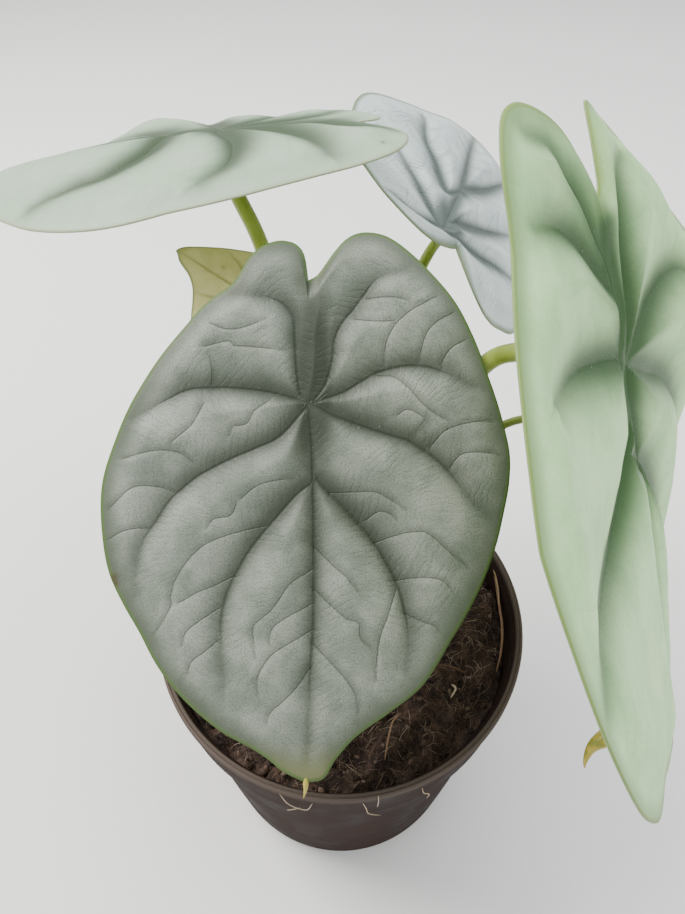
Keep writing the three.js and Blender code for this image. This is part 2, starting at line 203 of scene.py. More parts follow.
rightMargins = [
    plainMargin[:7] + [(58, 645), (66, 608), (76, 560), (84, 535), (92, 515), (100, 486), (109, 463),
    (120, 447), (132, 440), (139, 455), (144, 476), (149, 496), (154, 511), (158, 511), (162, 499),
    (168, 465), (173, 424), (177, 366), (180, 300)],
    plainMargin[:5] + [(38, 735), (50, 680), (60, 635), (74, 575), (90, 507), (104, 470), (118, 455),
    (130, 464), (142, 472), (154, 475), (161, 482), (165, 465), (169, 390), (173, 320), (180, 300)]]
leftMargins = [
    plainMargin[:7] + [(60, 620), (74, 540), (90, 450), (104, 385), (113, 355), (130, 370), (142, 375),
    (152, 385), (160, 390), (166, 385), (172, 370), (176, 350), (180, 335)],
    plainMargin[:7] + [(60, 638), (72, 588), (90, 507), (104, 470), (118, 452), (130, 456), (142, 478),
    (152, 495), (160, 490)] + plainMargin[16:]]
backMargins = [
    [(0, 1000), (6, 1010), (12, 980), (20, 905), (28, 835), (38, 765), (50, 700), (60, 645), (74, 585),
    (90, 530), (104, 500), (116, 488), (131, 462), (148, 468), (158, 470), (166, 430), (173, 340),
    (180, 260)],
    [(0, 1000), (6, 960), (15, 850), (26, 776), (34, 741), (42, 716), (50, 684), (58, 638), (66, 588),
    (78, 540), (92, 480), (107, 437), (122, 437), (138, 470), (150, 484), (158, 460), (165, 395),
    (172, 325), (180, 260)]]
oldMargins = [
    [(0, 1020), (1.7, 1013), (4.5, 988), (9.1, 920), (16, 831), (24.2, 752), (33.8, 682), (45, 630),
    (60, 590), (74, 550), (90, 500)] + plainMargin[10:],
    [(0, 1020), (1.2, 987), (3.6, 948), (5.7, 900), (7.9, 839), (11.1, 775), (18, 710), (25.6, 682),
    (34.6, 675), (42.5, 688), (50, 700), (60, 680), (74, 620), (90, 540), (104, 490),
    (118, 455)] + plainMargin[12:]]

# Veins in thousandths of the length: across, then towards the tip. Generic ones are for the right half.
genericVeins = [
    [(0, 200), (90, 285), (190, 440), (250, 630)],
    [(0, 0), (110, 60), (240, 130), (370, 240), (440, 380)],
    [(0, 0), (150, -55), (280, -80), (390, -60), (460, 20)],
    [(0, 0), (55, -100), (90, -200), (160, -310), (220, -340)]]
midrib = [(0, 0), (0, 350), (0, 970)]
mirroredVeins = [[(-x, y) for x, y in line] for line in genericVeins]
frontVeins = [
    [(0, 5), (12, 109), (16, 228), (19, 362), (19, 502), (18, 624), (11, 711), (7, 838), (0, 950)],
    [(13, 228), (-25, 256), (-77, 314), (-143, 394), (-176, 447), (-208, 512), (-222, 568), (-225, 624),
    (-222, 688), (-213, 752)],
    [(-3, 21), (-73, 100), (-138, 133), (-203, 161), (-258, 189), (-304, 217), (-366, 273), (-398, 323),
    (-430, 371), (-448, 418), (-454, 466), (-452, 512)],
    [(-13, 5), (-36, -2), (-112, -21), (-206, -31), (-263, -31), (-323, -26), (-379, 0), (-439, 34),
    (-476, 49)],
    [(-14, -1), (-22, -28), (-30, -90), (-35, -163), (-38, -216), (-52, -246), (-76, -270), (-115, -285),
    (-162, -290), (-201, -292)],
    [(23, 218), (66, 261), (105, 300), (148, 347), (186, 394), (214, 442), (238, 489), (256, 549),
    (265, 596), (267, 665), (257, 715)],
    [(17, 16), (63, 43), (101, 57), (166, 81), (222, 98), (277, 116), (333, 152), (371, 185), (406, 229),
    (437, 272), (477, 312)],
    [(17, 8), (96, -19), (143, -47), (190, -74), (242, -88), (285, -93), (332, -88), (379, -71),
    (416, -52), (454, -35)],
    [(17, 2), (49, -43), (67, -110), (74, -168), (96, -216), (124, -250), (153, -290), (182, -329),
    (215, -349), (264, -364)]]
leftVeins = [
    midrib, *mirroredVeins,
    [(0, 150), (26, 187), (155, 203), (278, 278), (330, 361), (422, 482)],
    [(0, 0), (30, 0), (114, -72), (218, -110), (300, -112), (386, -68)],
    [(0, 0), (43, -164), (117, -295), (197, -373), (265, -416)],
    [(0, 0), (2, -272), (60, -439), (95, -596)]]
backVeins = [
    [(58, -171), (30, 60), (1, 289), (-19, 719), (-44, 971)],
    [(-2, 252), (67, 168), (151, 353), (224, 477), (264, 677)],
    [(-12, 300), (-90, 420), (-169, 550), (-295, 807)],
    [(68, -186), (191, 39), (334, 190)],
    [(26, -81), (-99, 58), (-336, 320)],
    [(58, -202), (-91, -132), (-263, -25), (-409, 35)],
    [(50, -150), (130, -220), (250, -300), (330, -280)]]
rightVeins = [
    [(0, 0), (0, 64), (27, 164), (37, 235), (39, 333), (20, 600), (0, 950)],
    [(-3, 20), (-3, 115), (-40, 170), (-130, 225), (-250, 245), (-375, 237), (-467, 228), (-535, 237),
    (-585, 250)],
    [(-25, -10), (-5, -164), (-38, -239), (-72, -311), (-112, -362), (-147, -406), (-207, -428)],
    [(-20, -151), (-72, -209), (-128, -263), (-196, -293), (-285, -311)],
    [(-20, -10), (-57, -31), (-205, -75), (-294, -90), (-385, -99)],
    *genericVeins]
frontFine = [
    [(-107, 5), (-144, 34), (-163, 67), (-200, 76), (-208, 95)],
    [(-281, 15), (-307, 67), (-335, 95), (-358, 114), (-369, 133)],
    [(-492, 161), (-436, 147), (-390, 140), (-343, 147), (-310, 170)],
    [(-525, 291), (-502, 268), (-470, 242), (-434, 235), (-387, 240), (-354, 252)],
    [(-173, 268), (-132, 235), (-86, 221), (-39, 215)],
    [(-261, -206), (-228, -192), (-189, -192), (-147, -206), (-114, -221)],
    [(-279, -143), (-217, -158), (-199, -146), (-160, -143), (-65, -134)],
    [(-263, -43), (-261, -81), (-269, -119)],
    [(349, -285), (310, -260), (272, -236), (234, -197), (214, -153), (209, -100)],
    [(167, -280), (215, -282), (263, -275), (281, -260)],
    [(134, -221), (177, -214), (224, -214), (262, -221)],
    [(396, -240), (357, -216), (328, -187), (314, -153), (304, -105)],
    [(428, -163), (394, -143), (370, -110), (365, -86)],
    [(195, -66), (233, -62), (270, -33), (303, 5), (335, 34), (400, 76)],
    [(245, 43), (269, 29), (297, 39), (316, 57), (292, 86)],
    [(334, 128), (367, 90), (409, 72), (461, 62), (498, 62)],
    [(384, 185), (412, 152), (450, 145), (492, 147), (520, 152)],
    [(-526, 376), (-498, 359), (-460, 349), (-421, 349)],
    [(-188, 285), (-202, 314), (-245, 323), (-264, 347)],
    [(-111, 342), (-159, 352), (-210, 366), (-258, 385), (-291, 409), (-323, 447), (-346, 489),
    (-355, 526), (-356, 554), (-399, 624)],
    [(-197, 476), (-242, 498), (-284, 514), (-321, 535), (-355, 554)],
    [(-234, 642), (-266, 669), (-299, 693), (-310, 725)],
    [(-230, 557), (-282, 591), (-315, 619), (-323, 650)],
    [(13, 458), (-43, 494), (-90, 559), (-136, 600), (-135, 642), (-131, 679)],
    [(14, 614), (-36, 642), (-83, 669), (-111, 702), (-125, 733), (-124, 770)],
    [(9, 712), (-22, 756), (-59, 792), (-91, 820), (-102, 851)],
    [(14, 547), (-56, 582), (-89, 609), (-95, 642)],
    [(61, 254), (124, 252), (182, 252), (220, 271), (258, 297)],
    [(155, 328), (191, 304), (220, 309), (234, 323)],
    [(181, 387), (239, 366), (287, 357), (325, 364), (391, 423), (423, 451)],
    [(231, 487), (280, 479), (323, 477), (356, 484), (375, 502)],
    [(262, 573), (303, 591), (331, 600), (345, 614)],
    [(21, 400), (76, 451), (105, 475), (133, 512)],
    [(21, 510), (76, 559), (105, 582), (138, 594), (142, 632), (185, 674)],
    [(236, 510), (213, 577), (194, 624), (185, 679), (182, 738)],
    [(17, 650), (76, 706), (109, 743), (128, 779), (132, 824)]]

# What a leaf has unless it says otherwise: angles in degrees, places and widths in mm, shares of the
# length; pairs are for the left half and the right one
leafBasis = {
    "lobes": 1, "fold": (0, 0), "curl": (0, 0), "tipBend": 0, "lobeBend": 0, "lobeFold": (0, 0),
    "tipFold": (0, 0), "margins": [plainMargin, plainMargin], "waves": [], "stalkGap": 0.6, "rise": 12,
    "via": [], "veins": [midrib, *mirroredVeins, *genericVeins], "fine": [], "cells": 70,
    "depth": (0.6, 0.6), "edgeWidth": (0.15, 0.65), "fineRelief": 0.15, "ripple": 0.5,
    "hub": (0, 0, 0.05, 0.05), "grain": 0.4, "tipShare": 0.5, "spots": []}
leaves = {
    "front": {
        "junction": (-8.2, 11.5, 186), "heading": -90, "pitch": -38, "roll": 0, "length": 93.3,
        "width": 0.977, "margins": frontMargins, "crownAngle": 240, "rise": 40, "neck": 20,
        "stalkTop": 2.5, "stalkRoot": 3.4, "veins": frontVeins, "fine": frontFine, "cells": 200,
        "valleyWidth": 6.6, "depth": (0.88, 0.88), "rimWidth": (0.8, 6.5), "edgeWidth": (0.35, 1.25),
        "fineRelief": 1.0, "ripple": 0.8, "hub": (0.016, -0.04, 0.075, 0.3), "grain": 1.35, "shade": 0.76,
        "tipShare": 0.52, "spots": [(-0.075, 0.54, 0.35), (-0.512, 0.478, 1.1), (-0.508, 0.492, 0.9)]},
    "left": {
        "junction": (-36.3, 93.5, 221.5), "heading": 169.8, "pitch": -7.6, "roll": -5.3, "length": 93.3,
        "width": 1.015, "lobes": 1.36, "fold": (6.6, 5.1), "curl": (3.4, 7.4), "tipBend": 12.8,
        "lobeBend": 2.7, "lobeFold": (4, 0), "margins": leftMargins,
        "waves": [(-46, 11, 0.05), (-62, 8, -0.03), (-135, 25, 0.03), (-16, 10, -0.04)],
        "crownAngle": 125, "rise": 16, "via": [(-9.5, 29, 149), (-24.8, 77, 192)], "neck": 13,
        "stalkTop": 2.5, "stalkRoot": 3.4, "veins": leftVeins, "cells": 150, "valleyWidth": 11.0,
        "depth": (0.45, 1.0), "rimWidth": (0.3, 1.6), "ripple": 0.3, "hub": (0, -0.02, 0.1, 0.14),
        "grain": 0.25, "shade": 0.95, "tipShare": 0.55,
        "spots": [(0.068, -0.397, 0.35), (0.13, -0.487, 0.4), (0.2, -0.56, 0.6)]},
    "back": {
        "junction": (40.8, 103.9, 189), "heading": 79.3, "pitch": 0.8, "roll": -30.9, "length": 83.4,
        "width": 1.09, "lobes": 1.09, "fold": (15.2, 4.5), "curl": (3.3, -6.7), "tipBend": 2.6,
        "lobeBend": -31.7, "lobeFold": (9.9, -9.9), "tipFold": (-9.7, -7.8), "margins": backMargins,
        "stalkGap": 0.95, "crownAngle": 70, "via": [(8, 30, 141), (18, 66, 163)], "neck": 15,
        "stalkTop": 2, "stalkRoot": 3.2, "veins": backVeins, "cells": 130, "valleyWidth": 6.4,
        "depth": (1.3, 1.3), "rimWidth": (0.4, 2.2), "edgeWidth": (0.2, 0.9), "fineRelief": 0.5,
        "ripple": 2.2, "hub": (0.045, -0.1, 0.1, 0.2), "grain": 0.5, "shade": 0.95, "tipShare": 0.36,
        "spots": [(0.03, -0.262, 0.8), (-0.02, -0.262, 0.9)]},
    "right": {
        "junction": (57.4, -8.3, 213.1), "heading": -52.2, "pitch": -62.9, "roll": 10.4, "length": 110.2,
        "width": 1.135, "lobes": 0.995, "fold": (-2.8, 5.6), "curl": (-20.3, -3.9), "tipBend": -1.9,
        "lobeBend": 20.3, "lobeFold": (0.8, 13.3), "tipFold": (-14.9, 30.9), "margins": rightMargins,
        "crownAngle": 22, "via": [(19, 14, 151), (38.4, 22.6, 189), (44.2, 16.8, 197.2)], "neck": 13,
        "stalkTop": 2.45, "stalkRoot": 3.4, "veins": rightVeins, "cells": 170, "valleyWidth": 6.8,
        "depth": (1.5, 1.5), "rimWidth": (0.6, 5.0), "edgeWidth": (0.3, 1.2), "ripple": 0.3,
        "hub": (-0.002, -0.14, 0.05, 0.22), "grain": 0.25, "shade": 0.9, "tipShare": 1.05},
    "old": {
        "junction": (-20.5, 42.8, 192.3), "heading": 148, "pitch": 15, "roll": -4, "length": 32.5,
        "width": 0.9, "fold": (-24, 25), "curl": (5, 0), "lobeBend": 10, "lobeFold": (15, 0),
        "margins": oldMargins, "stalkGap": 0.9, "crownAngle": 180, "rise": 30, "neck": 14,
        "stalkTop": 1.3, "stalkRoot": 2.4, "valleyWidth": 1.0, "rimWidth": (0.2, 0.9), "fineRelief": 0.25,
        "shade": 0.7, "spots": [(-0.085, 0.557, 0.35)]},
    "low": {
        "junction": (74.2, -17, 155), "heading": -81.8, "pitch": -64, "roll": 22, "length": 57,
        "width": 0.37, "fold": (2, 8), "curl": (-10, 4), "lobeBend": 10, "lobeFold": (0, 10),
        "tipFold": (0, 10), "crownAngle": -32, "via": [(26, 8, 149), (48, 22, 168), (61, 19, 170)],
        "neck": 10, "stalkTop": 1.1, "stalkRoot": 2.4, "valleyWidth": 1.6, "rimWidth": (0.2, 1.2),
        "fineRelief": 0.3, "shade": 0.8}}
# The tones of each leaf, in the order that the loop below names. The four green leaves share one skin, so
# their different tones are partly painted light: the back leaf's bluish pale is a painted sky reflection,
# the left leaf's pale mint a painted grazing reflection, the right leaf's bright green painted light, and
# the front leaf's darker grey painted shade. The old and low leaves are really yellowed.
leafTonesAndPaintedLight = {
    "front": ("#999f93", "#788074", "#2c3325", "#252e21", "#464f3d", "#4d6530", "#859370"),
    "left": ("#aabfa5", "#a2ba9d", "#33452b", "#4b5b42", "#a2ae94", "#a9b392", "#99a781"),
    "back": ("#d3dfdb", "#c6d3d1", "#4f5b55", "#4b5550", "#5b6e50", "#76865c", "#8b9b77"),
    "right": ("#c8f0ae", "#b0df9b", "#294b1d", "#2d4c26", "#7fa262", "#829c4e", "#8e9f70"),
    "old": ("#d4ce8c", "#bab56e", "#94904d", "#7a7532", "#b7b26c", "#949b6a", "#bfb87d"),
    "low": ("#a2a970", "#8b9355", "#6b7838", "#647034", "#939052", "#a39a65", "#889156")}
for name, tones in leafTonesAndPaintedLight.items():
    leaves[name].update(zip(("pale", "mid", "valley", "line", "rim", "edge", "under"), tones))
leaves = {name: {**leafBasis, **leaf} for name, leaf in leaves.items()}
for leaf in leaves.values():
    for key in ("veins", "fine"):
        leaf[key] = [np.array(line) / 1000 for line in leaf[key]]

# Marks that any blade may carry: dust flecks along the veins and brown spots
blotch = {"fleck": "#b9bfb4", "spot": "#4a3a22", "tip": "#86864c"}

# What all the blades share, in mm and shares
bladeShape = {
    "thickness": 0.9, "edgeThickness": 0.4, "edgeWidth": 1.6, "grooveDepth": 0.03,
    "slopeWidth": 0.086, "stepWidth": 0.046, "ribWidth": 0.058, "ribRadius": 0.9, "midribShare": 0.62,
    "slopeFall": 1.6, "stepFall": 1.25, "darkFall": 1.5, "brightFall": 1.3, "veinStep": 0.25,
    "veinFade": 0.42, "lineFade": 1.4, "fineDepth": 0.27, "fineSlope": 2.6, "fineStep": 0.7,
    "fineFall": 1.4, "underRib": 0.9, "swell": 0.12, "swellSize": 0.16}


def leafAxes(leaf):
    # the directions towards the blade's tip, up from its face and to its right
    heading, pitch, roll = (math.radians(leaf[key]) for key in ("heading", "pitch", "roll"))
    tip = np.array([math.cos(pitch) * math.cos(heading), math.cos(pitch) * math.sin(heading),
                    math.sin(pitch)])
    level = np.array([0, 0, 1.0]) - tip[2] * tip
    level /= np.linalg.norm(level)
    up = level * math.cos(roll) + np.cross(level, tip) * math.sin(roll)
    return tip, up, np.cross(up, tip)


def marginRadius(margin, angle):
    # a smooth line through the margin's points, with each slope taken from the neighbours
    at, radius = np.array(margin, float).T
    radius = radius / 1000
    j = np.arange(len(at))
    before, after = np.maximum(j - 1, 0), np.minimum(j + 1, len(at) - 1)
    slope = (radius[after] - radius[before]) / (at[after] - at[before])
    i = np.clip(np.searchsorted(at, angle, side="left") - 1, 0, len(at) - 2)
    step = at[i + 1] - at[i]
    t = (angle - at[i]) / step
    return ((2 * t**3 - 3 * t**2 + 1) * radius[i] + (t**3 - 2 * t**2 + t) * step * slope[i]
            + (3 * t**2 - 2 * t**3) * radius[i + 1] + (t**3 - t**2) * step * slope[i + 1])


def flatPlace(leaf, angle, share):
    # a place on the flat leaf for degrees from the tip, below 0 on the left, and a share of the reach
    left, right = (marginRadius(margin, np.abs(angle)) for margin in leaf["margins"])
    reach = np.where(angle < 0, left, right)
    x = np.sin(np.radians(angle)) * reach * share * leaf["width"]
    y = np.cos(np.radians(angle)) * reach * share
    return x, np.where(y < 0, y * leaf["lobes"], y)


def bladePoint(leaf, x, y, lift):
    # the bent blade's point for a flat place and a lift over its middle, in mm
    tip, up, right = leafAxes(leaf)
    length = leaf["length"]
    pick = lambda key: np.where(x < 0, *leaf[key])
    fold = pick("fold") + pick("lobeFold") * np.maximum(0, -y) / 0.44 + pick("tipFold") * np.maximum(0, y)
    start = np.radians(fold)
    turn = np.radians(pick("curl"))
    turn = np.where(turn == 0, 1e-5, turn) / (0.5 * length)
    end = start + turn * np.abs(x) * length
    sideways = (np.sin(end) - np.sin(start)) / turn * np.where(x < 0, -1, 1)
    down = (np.cos(end) - np.cos(start)) / turn + lift
    rate = np.radians(np.where(y > 0, leaf["tipBend"], leaf["lobeBend"]))
    rate = np.where(rate == 0, 1e-5, rate) / length
    bend = rate * y * length
    along = np.sin(bend) / rate + down * np.sin(bend)
    height = (np.cos(bend) - 1) / rate + down * np.cos(bend)
    return (np.array(leaf["junction"]) + np.outer(along, tip) + np.outer(height, up)
            + np.outer(sideways, right))


def spline(line, steps=24):
    # a smooth line through a few points, whose ends run on straight
    line = np.array(line, float)
    line = np.vstack([2 * line[0] - line[1], line, 2 * line[-1] - line[-2]])
    t = np.linspace(0, 1, steps, endpoint=False)[:, None]
    pieces = []
    for a, b, c, d in zip(line, line[1:], line[2:], line[3:]):
        pieces.append(0.5 * (2 * b + (c - a) * t + (2 * a - 5 * b + 4 * c - d) * t**2
                             + (3 * b - a - 3 * c + d) * t**3))
    return np.vstack([*pieces, line[-2:-1]])


def nearTo(places, samples):
    # for each flat place in mm, how far the nearest sample is, and which one it is
    tree = treeOf([(x, y, 0) for x, y in samples])
    found = [tree.find((x, y, 0)) for x, y in places]
    return np.array([f[2] for f in found]), np.array([f[1] for f in found])


def besideLine(places, samples):
    # how far each place is from a vein, where along it, and that gap again with a sign: above 0 on the
    # side towards the leaf's tip, where the blade rises steeply, below 0 on the long soft slope
    gap, which = nearTo(places, samples)
    way = np.gradient(samples, axis=0)
    hand = 1 if samples[-1, 0] > samples[0, 0] else -1
    off = places - samples[which]
    side = (way[which, 0] * off[:, 1] - way[which, 1] * off[:, 0]) * hand
    return gap, which, np.where(side < 0, -gap, gap)


def even(line, spacing):
    # a line's points set at an even spacing
    steps = np.linalg.norm(np.diff(line, axis=0), axis=1)
    along = np.concatenate([[0], np.cumsum(steps)])
    at = np.linspace(0, along[-1], max(int(along[-1] / spacing), 2))
    return np.stack([np.interp(at, along, line[:, k]) for k in range(line.shape[1])], axis=1)


def sideVeins(leaf, rng, spacing=7.5, reach=0.17):
    # fine veins that leave the main ones in turn and bow towards the tip
    made = []
    for line in leaf["veins"]:
        path = even(spline(line), spacing / leaf["length"])
        for i in range(1, len(path) - 1):
            way = path[i + 1] - path[i - 1]
            way /= np.linalg.norm(way) + 1e-9
            for hand in (-1, 1):
                if rng.random() < 0.15:
                    continue
                turn = hand * math.radians(rng.uniform(48, 70))
                out = np.array([way[0] * math.cos(turn) - way[1] * math.sin(turn),
                                way[0] * math.sin(turn) + way[1] * math.cos(turn)])
                far = reach * rng.uniform(0.6, 1.05)
                start = path[i] + out * 0.01
                made.append([start, start + out * far * 0.5 + way * far * 0.06,
                             start + out * far * 0.85 + way * far * 0.3])
    return made


def buildBlade(name, leaf, rng):
    # a flat grid is pulled into the leaf's outline, thickened, then bent and grooved
    shape = bladeShape
    blade, share, radius, turn = squareGrid("leaf_" + name, leaf["cells"])
    count = len(share)
    skin = blade.modifiers.new("skin", "SOLIDIFY")
    skin.thickness = shape["thickness"] * mm
    bpy.ops.object.modifier_apply(modifier="skin")

    # the grid's points by degrees from the tip, evenly spaced along the margin
    around = np.arctan2(-radius * np.cos(turn), radius * np.sin(turn)) / np.pi
    angle = np.zeros(count)
    fine = np.linspace(0, 180, 721)
    for hand in (-1, 1):
        x, y = flatPlace(leaf, np.where(fine == 0, 1e-6, fine) * hand, 1.0)
        lengths = np.concatenate([[0], np.cumsum(np.hypot(np.diff(x), np.diff(y)))])
        half = around < 0 if hand < 0 else around >= 0
        angle[half] = hand * np.interp(np.abs(around[half]), lengths / lengths[-1], fine)
    x, y = flatPlace(leaf, angle, share)
    length = leaf["length"]
    flat = np.stack([x, y], axis=1) * length

    # how near each place is to the main veins, the fine ones and the margin
    valley, line, ribs, run, groove = (np.zeros(count) for k in range(5))
    mainGap, mainSide, nextGap, fineGap, fineSide = (np.full(count, 99.0) for k in range(5))
    for vein in leaf["veins"]:
        samples = even(spline(vein) * length, shape["veinStep"])
        gap, which, side = besideLine(flat, samples)
        along = which / len(samples)
        strong = 1 - shape["veinFade"] * along**2
        central = abs(samples[-1, 0] - samples[0, 0]) < 0.12 * abs(samples[-1, 1] - samples[0, 1])
        slope, step = shape["slopeWidth"] * length, shape["stepWidth"] * length
        dark, bright = leaf["valleyWidth"] * strong, leaf["tipShare"] * leaf["valleyWidth"] * strong
        if central:
            slope = step = shape["ribWidth"] * length
            dark = bright = shape["midribShare"] * leaf["valleyWidth"] * strong
        relief = np.exp(-np.where(
            side < 0, (gap / slope) ** shape["slopeFall"], (gap / step) ** shape["stepFall"]))
        ribs = np.maximum(ribs, strong * relief)
        # painted shade: the dark band beside each vein is partly the vein's own dark green and partly
        # painted shade, wider on the long soft slope (dark) than on the steep side towards the tip
        # (bright)
        shade = np.exp(-np.where(
            side < 0, (gap / dark) ** shape["darkFall"], (gap / bright) ** shape["brightFall"]))
        valley = np.maximum(valley, strong * shade)
        line = np.maximum(line, strong * np.exp(-((gap / shape["ribRadius"]) ** 2)))
        gap = gap + shape["lineFade"] * smoothStep(0.55, 0.97, along)
        nearer = gap < mainGap
        nextGap = np.minimum(nextGap, np.where(nearer, mainGap, gap))
        mainGap = np.where(nearer, gap, mainGap)
        mainSide = np.where(nearer, side, mainSide)
        run = np.where(nearer, which * shape["veinStep"], run)
    # the band also darkens an ellipse round the junction, the hub
    hubX, hubY, hubWide, hubTall = leaf["hub"]
    hub = np.exp(-(np.hypot((x - hubX) / hubWide, (y - hubY) / hubTall) ** 2.2))
    valley = np.maximum(leaf["shade"] * valley, hub)
    for vein in leaf["fine"] or sideVeins(leaf, rng):
        gap, which, side = besideLine(flat, even(spline(vein, 8) * length, shape["veinStep"]))
        width = np.where(side < 0, shape["fineSlope"], shape["fineStep"])
        groove = np.maximum(groove, np.exp(-((gap / width) ** shape["fineFall"])))
        along = which / which.max()
        gap = gap + shape["lineFade"] * smoothStep(0.75, 0.98, along)
        nearer = gap < fineGap
        fineGap = np.where(nearer, gap, fineGap)
        fineSide = np.where(nearer, side, fineSide)
    edge = np.linspace(-180, 180, 3601)
    edgeX, edgeY = flatPlace(leaf, edge, 1.0)
    rim, which = nearTo(flat, even(np.stack([edgeX, edgeY], axis=1) * length, 0.2))
    swell = np.array([noise.noise(Vector((*(place * shape["swellSize"]), 3.1))) for place in flat])

    inner = 1 - smoothStep(0.8, 1, share)
    depth = leaf["depth"][0] + (leaf["depth"][1] - leaf["depth"][0]) * smoothStep(-0.06, 0.06, x)
    sink = 0.5 * np.maximum(depth - 1, 0) * smoothStep(0.04, 0.2, np.hypot(x, y))
    cushion = length * shape["grooveDepth"] * ((1 - ribs) * depth - sink) * inner
    wave = np.zeros(count)
    for at, spread, rise in leaf["waves"]:
        wave += rise * np.exp(-(((angle - at) / spread) ** 2))
    wave *= length * share**2
    calm = smoothStep(0, 5, rim)
    texture = (-shape["fineDepth"] * leaf["fineRelief"] * groove + shape["swell"] * swell) * calm
    half = 0.5 * (shape["edgeThickness"] + (shape["thickness"] - shape["edgeThickness"])
                  * smoothStep(0, shape["edgeWidth"], rim))
    rib = shape["underRib"] * line * calm
    top = bladePoint(leaf, x, y, half + cushion + wave + texture)
    bottom = bladePoint(leaf, x, y, -half + cushion + wave + 0.6 * texture - rib)
    movePoints(blade, np.vstack([top, bottom]) * mm)

    spot = np.zeros(count)
    for spotX, spotY, reach in leaf["spots"]:
        far = np.hypot(flat[:, 0] - spotX * length, flat[:, 1] - spotY * length)
        spot = np.maximum(spot, np.exp(-((far / reach) ** 2)))
    inside = smoothStep(0.4, 2.2, nextGap - mainGap)
    for key, values in {
            "valley": valley, "rim": rim, "spot": spot, "run": run + 0.7 * mainGap, "inside": inside,
            "mainGap": mainGap, "mainSide": mainSide, "fineGap": fineGap, "fineSide": fineSide}.items():
        mark(blade, key, np.tile(values, 2))
    mark(blade, "under", np.repeat([0.0, 1.0], count))
    mark(blade, "flat", np.column_stack([np.tile(flat, (2, 1)), np.repeat([0, 5.0], count)]))
    return blade


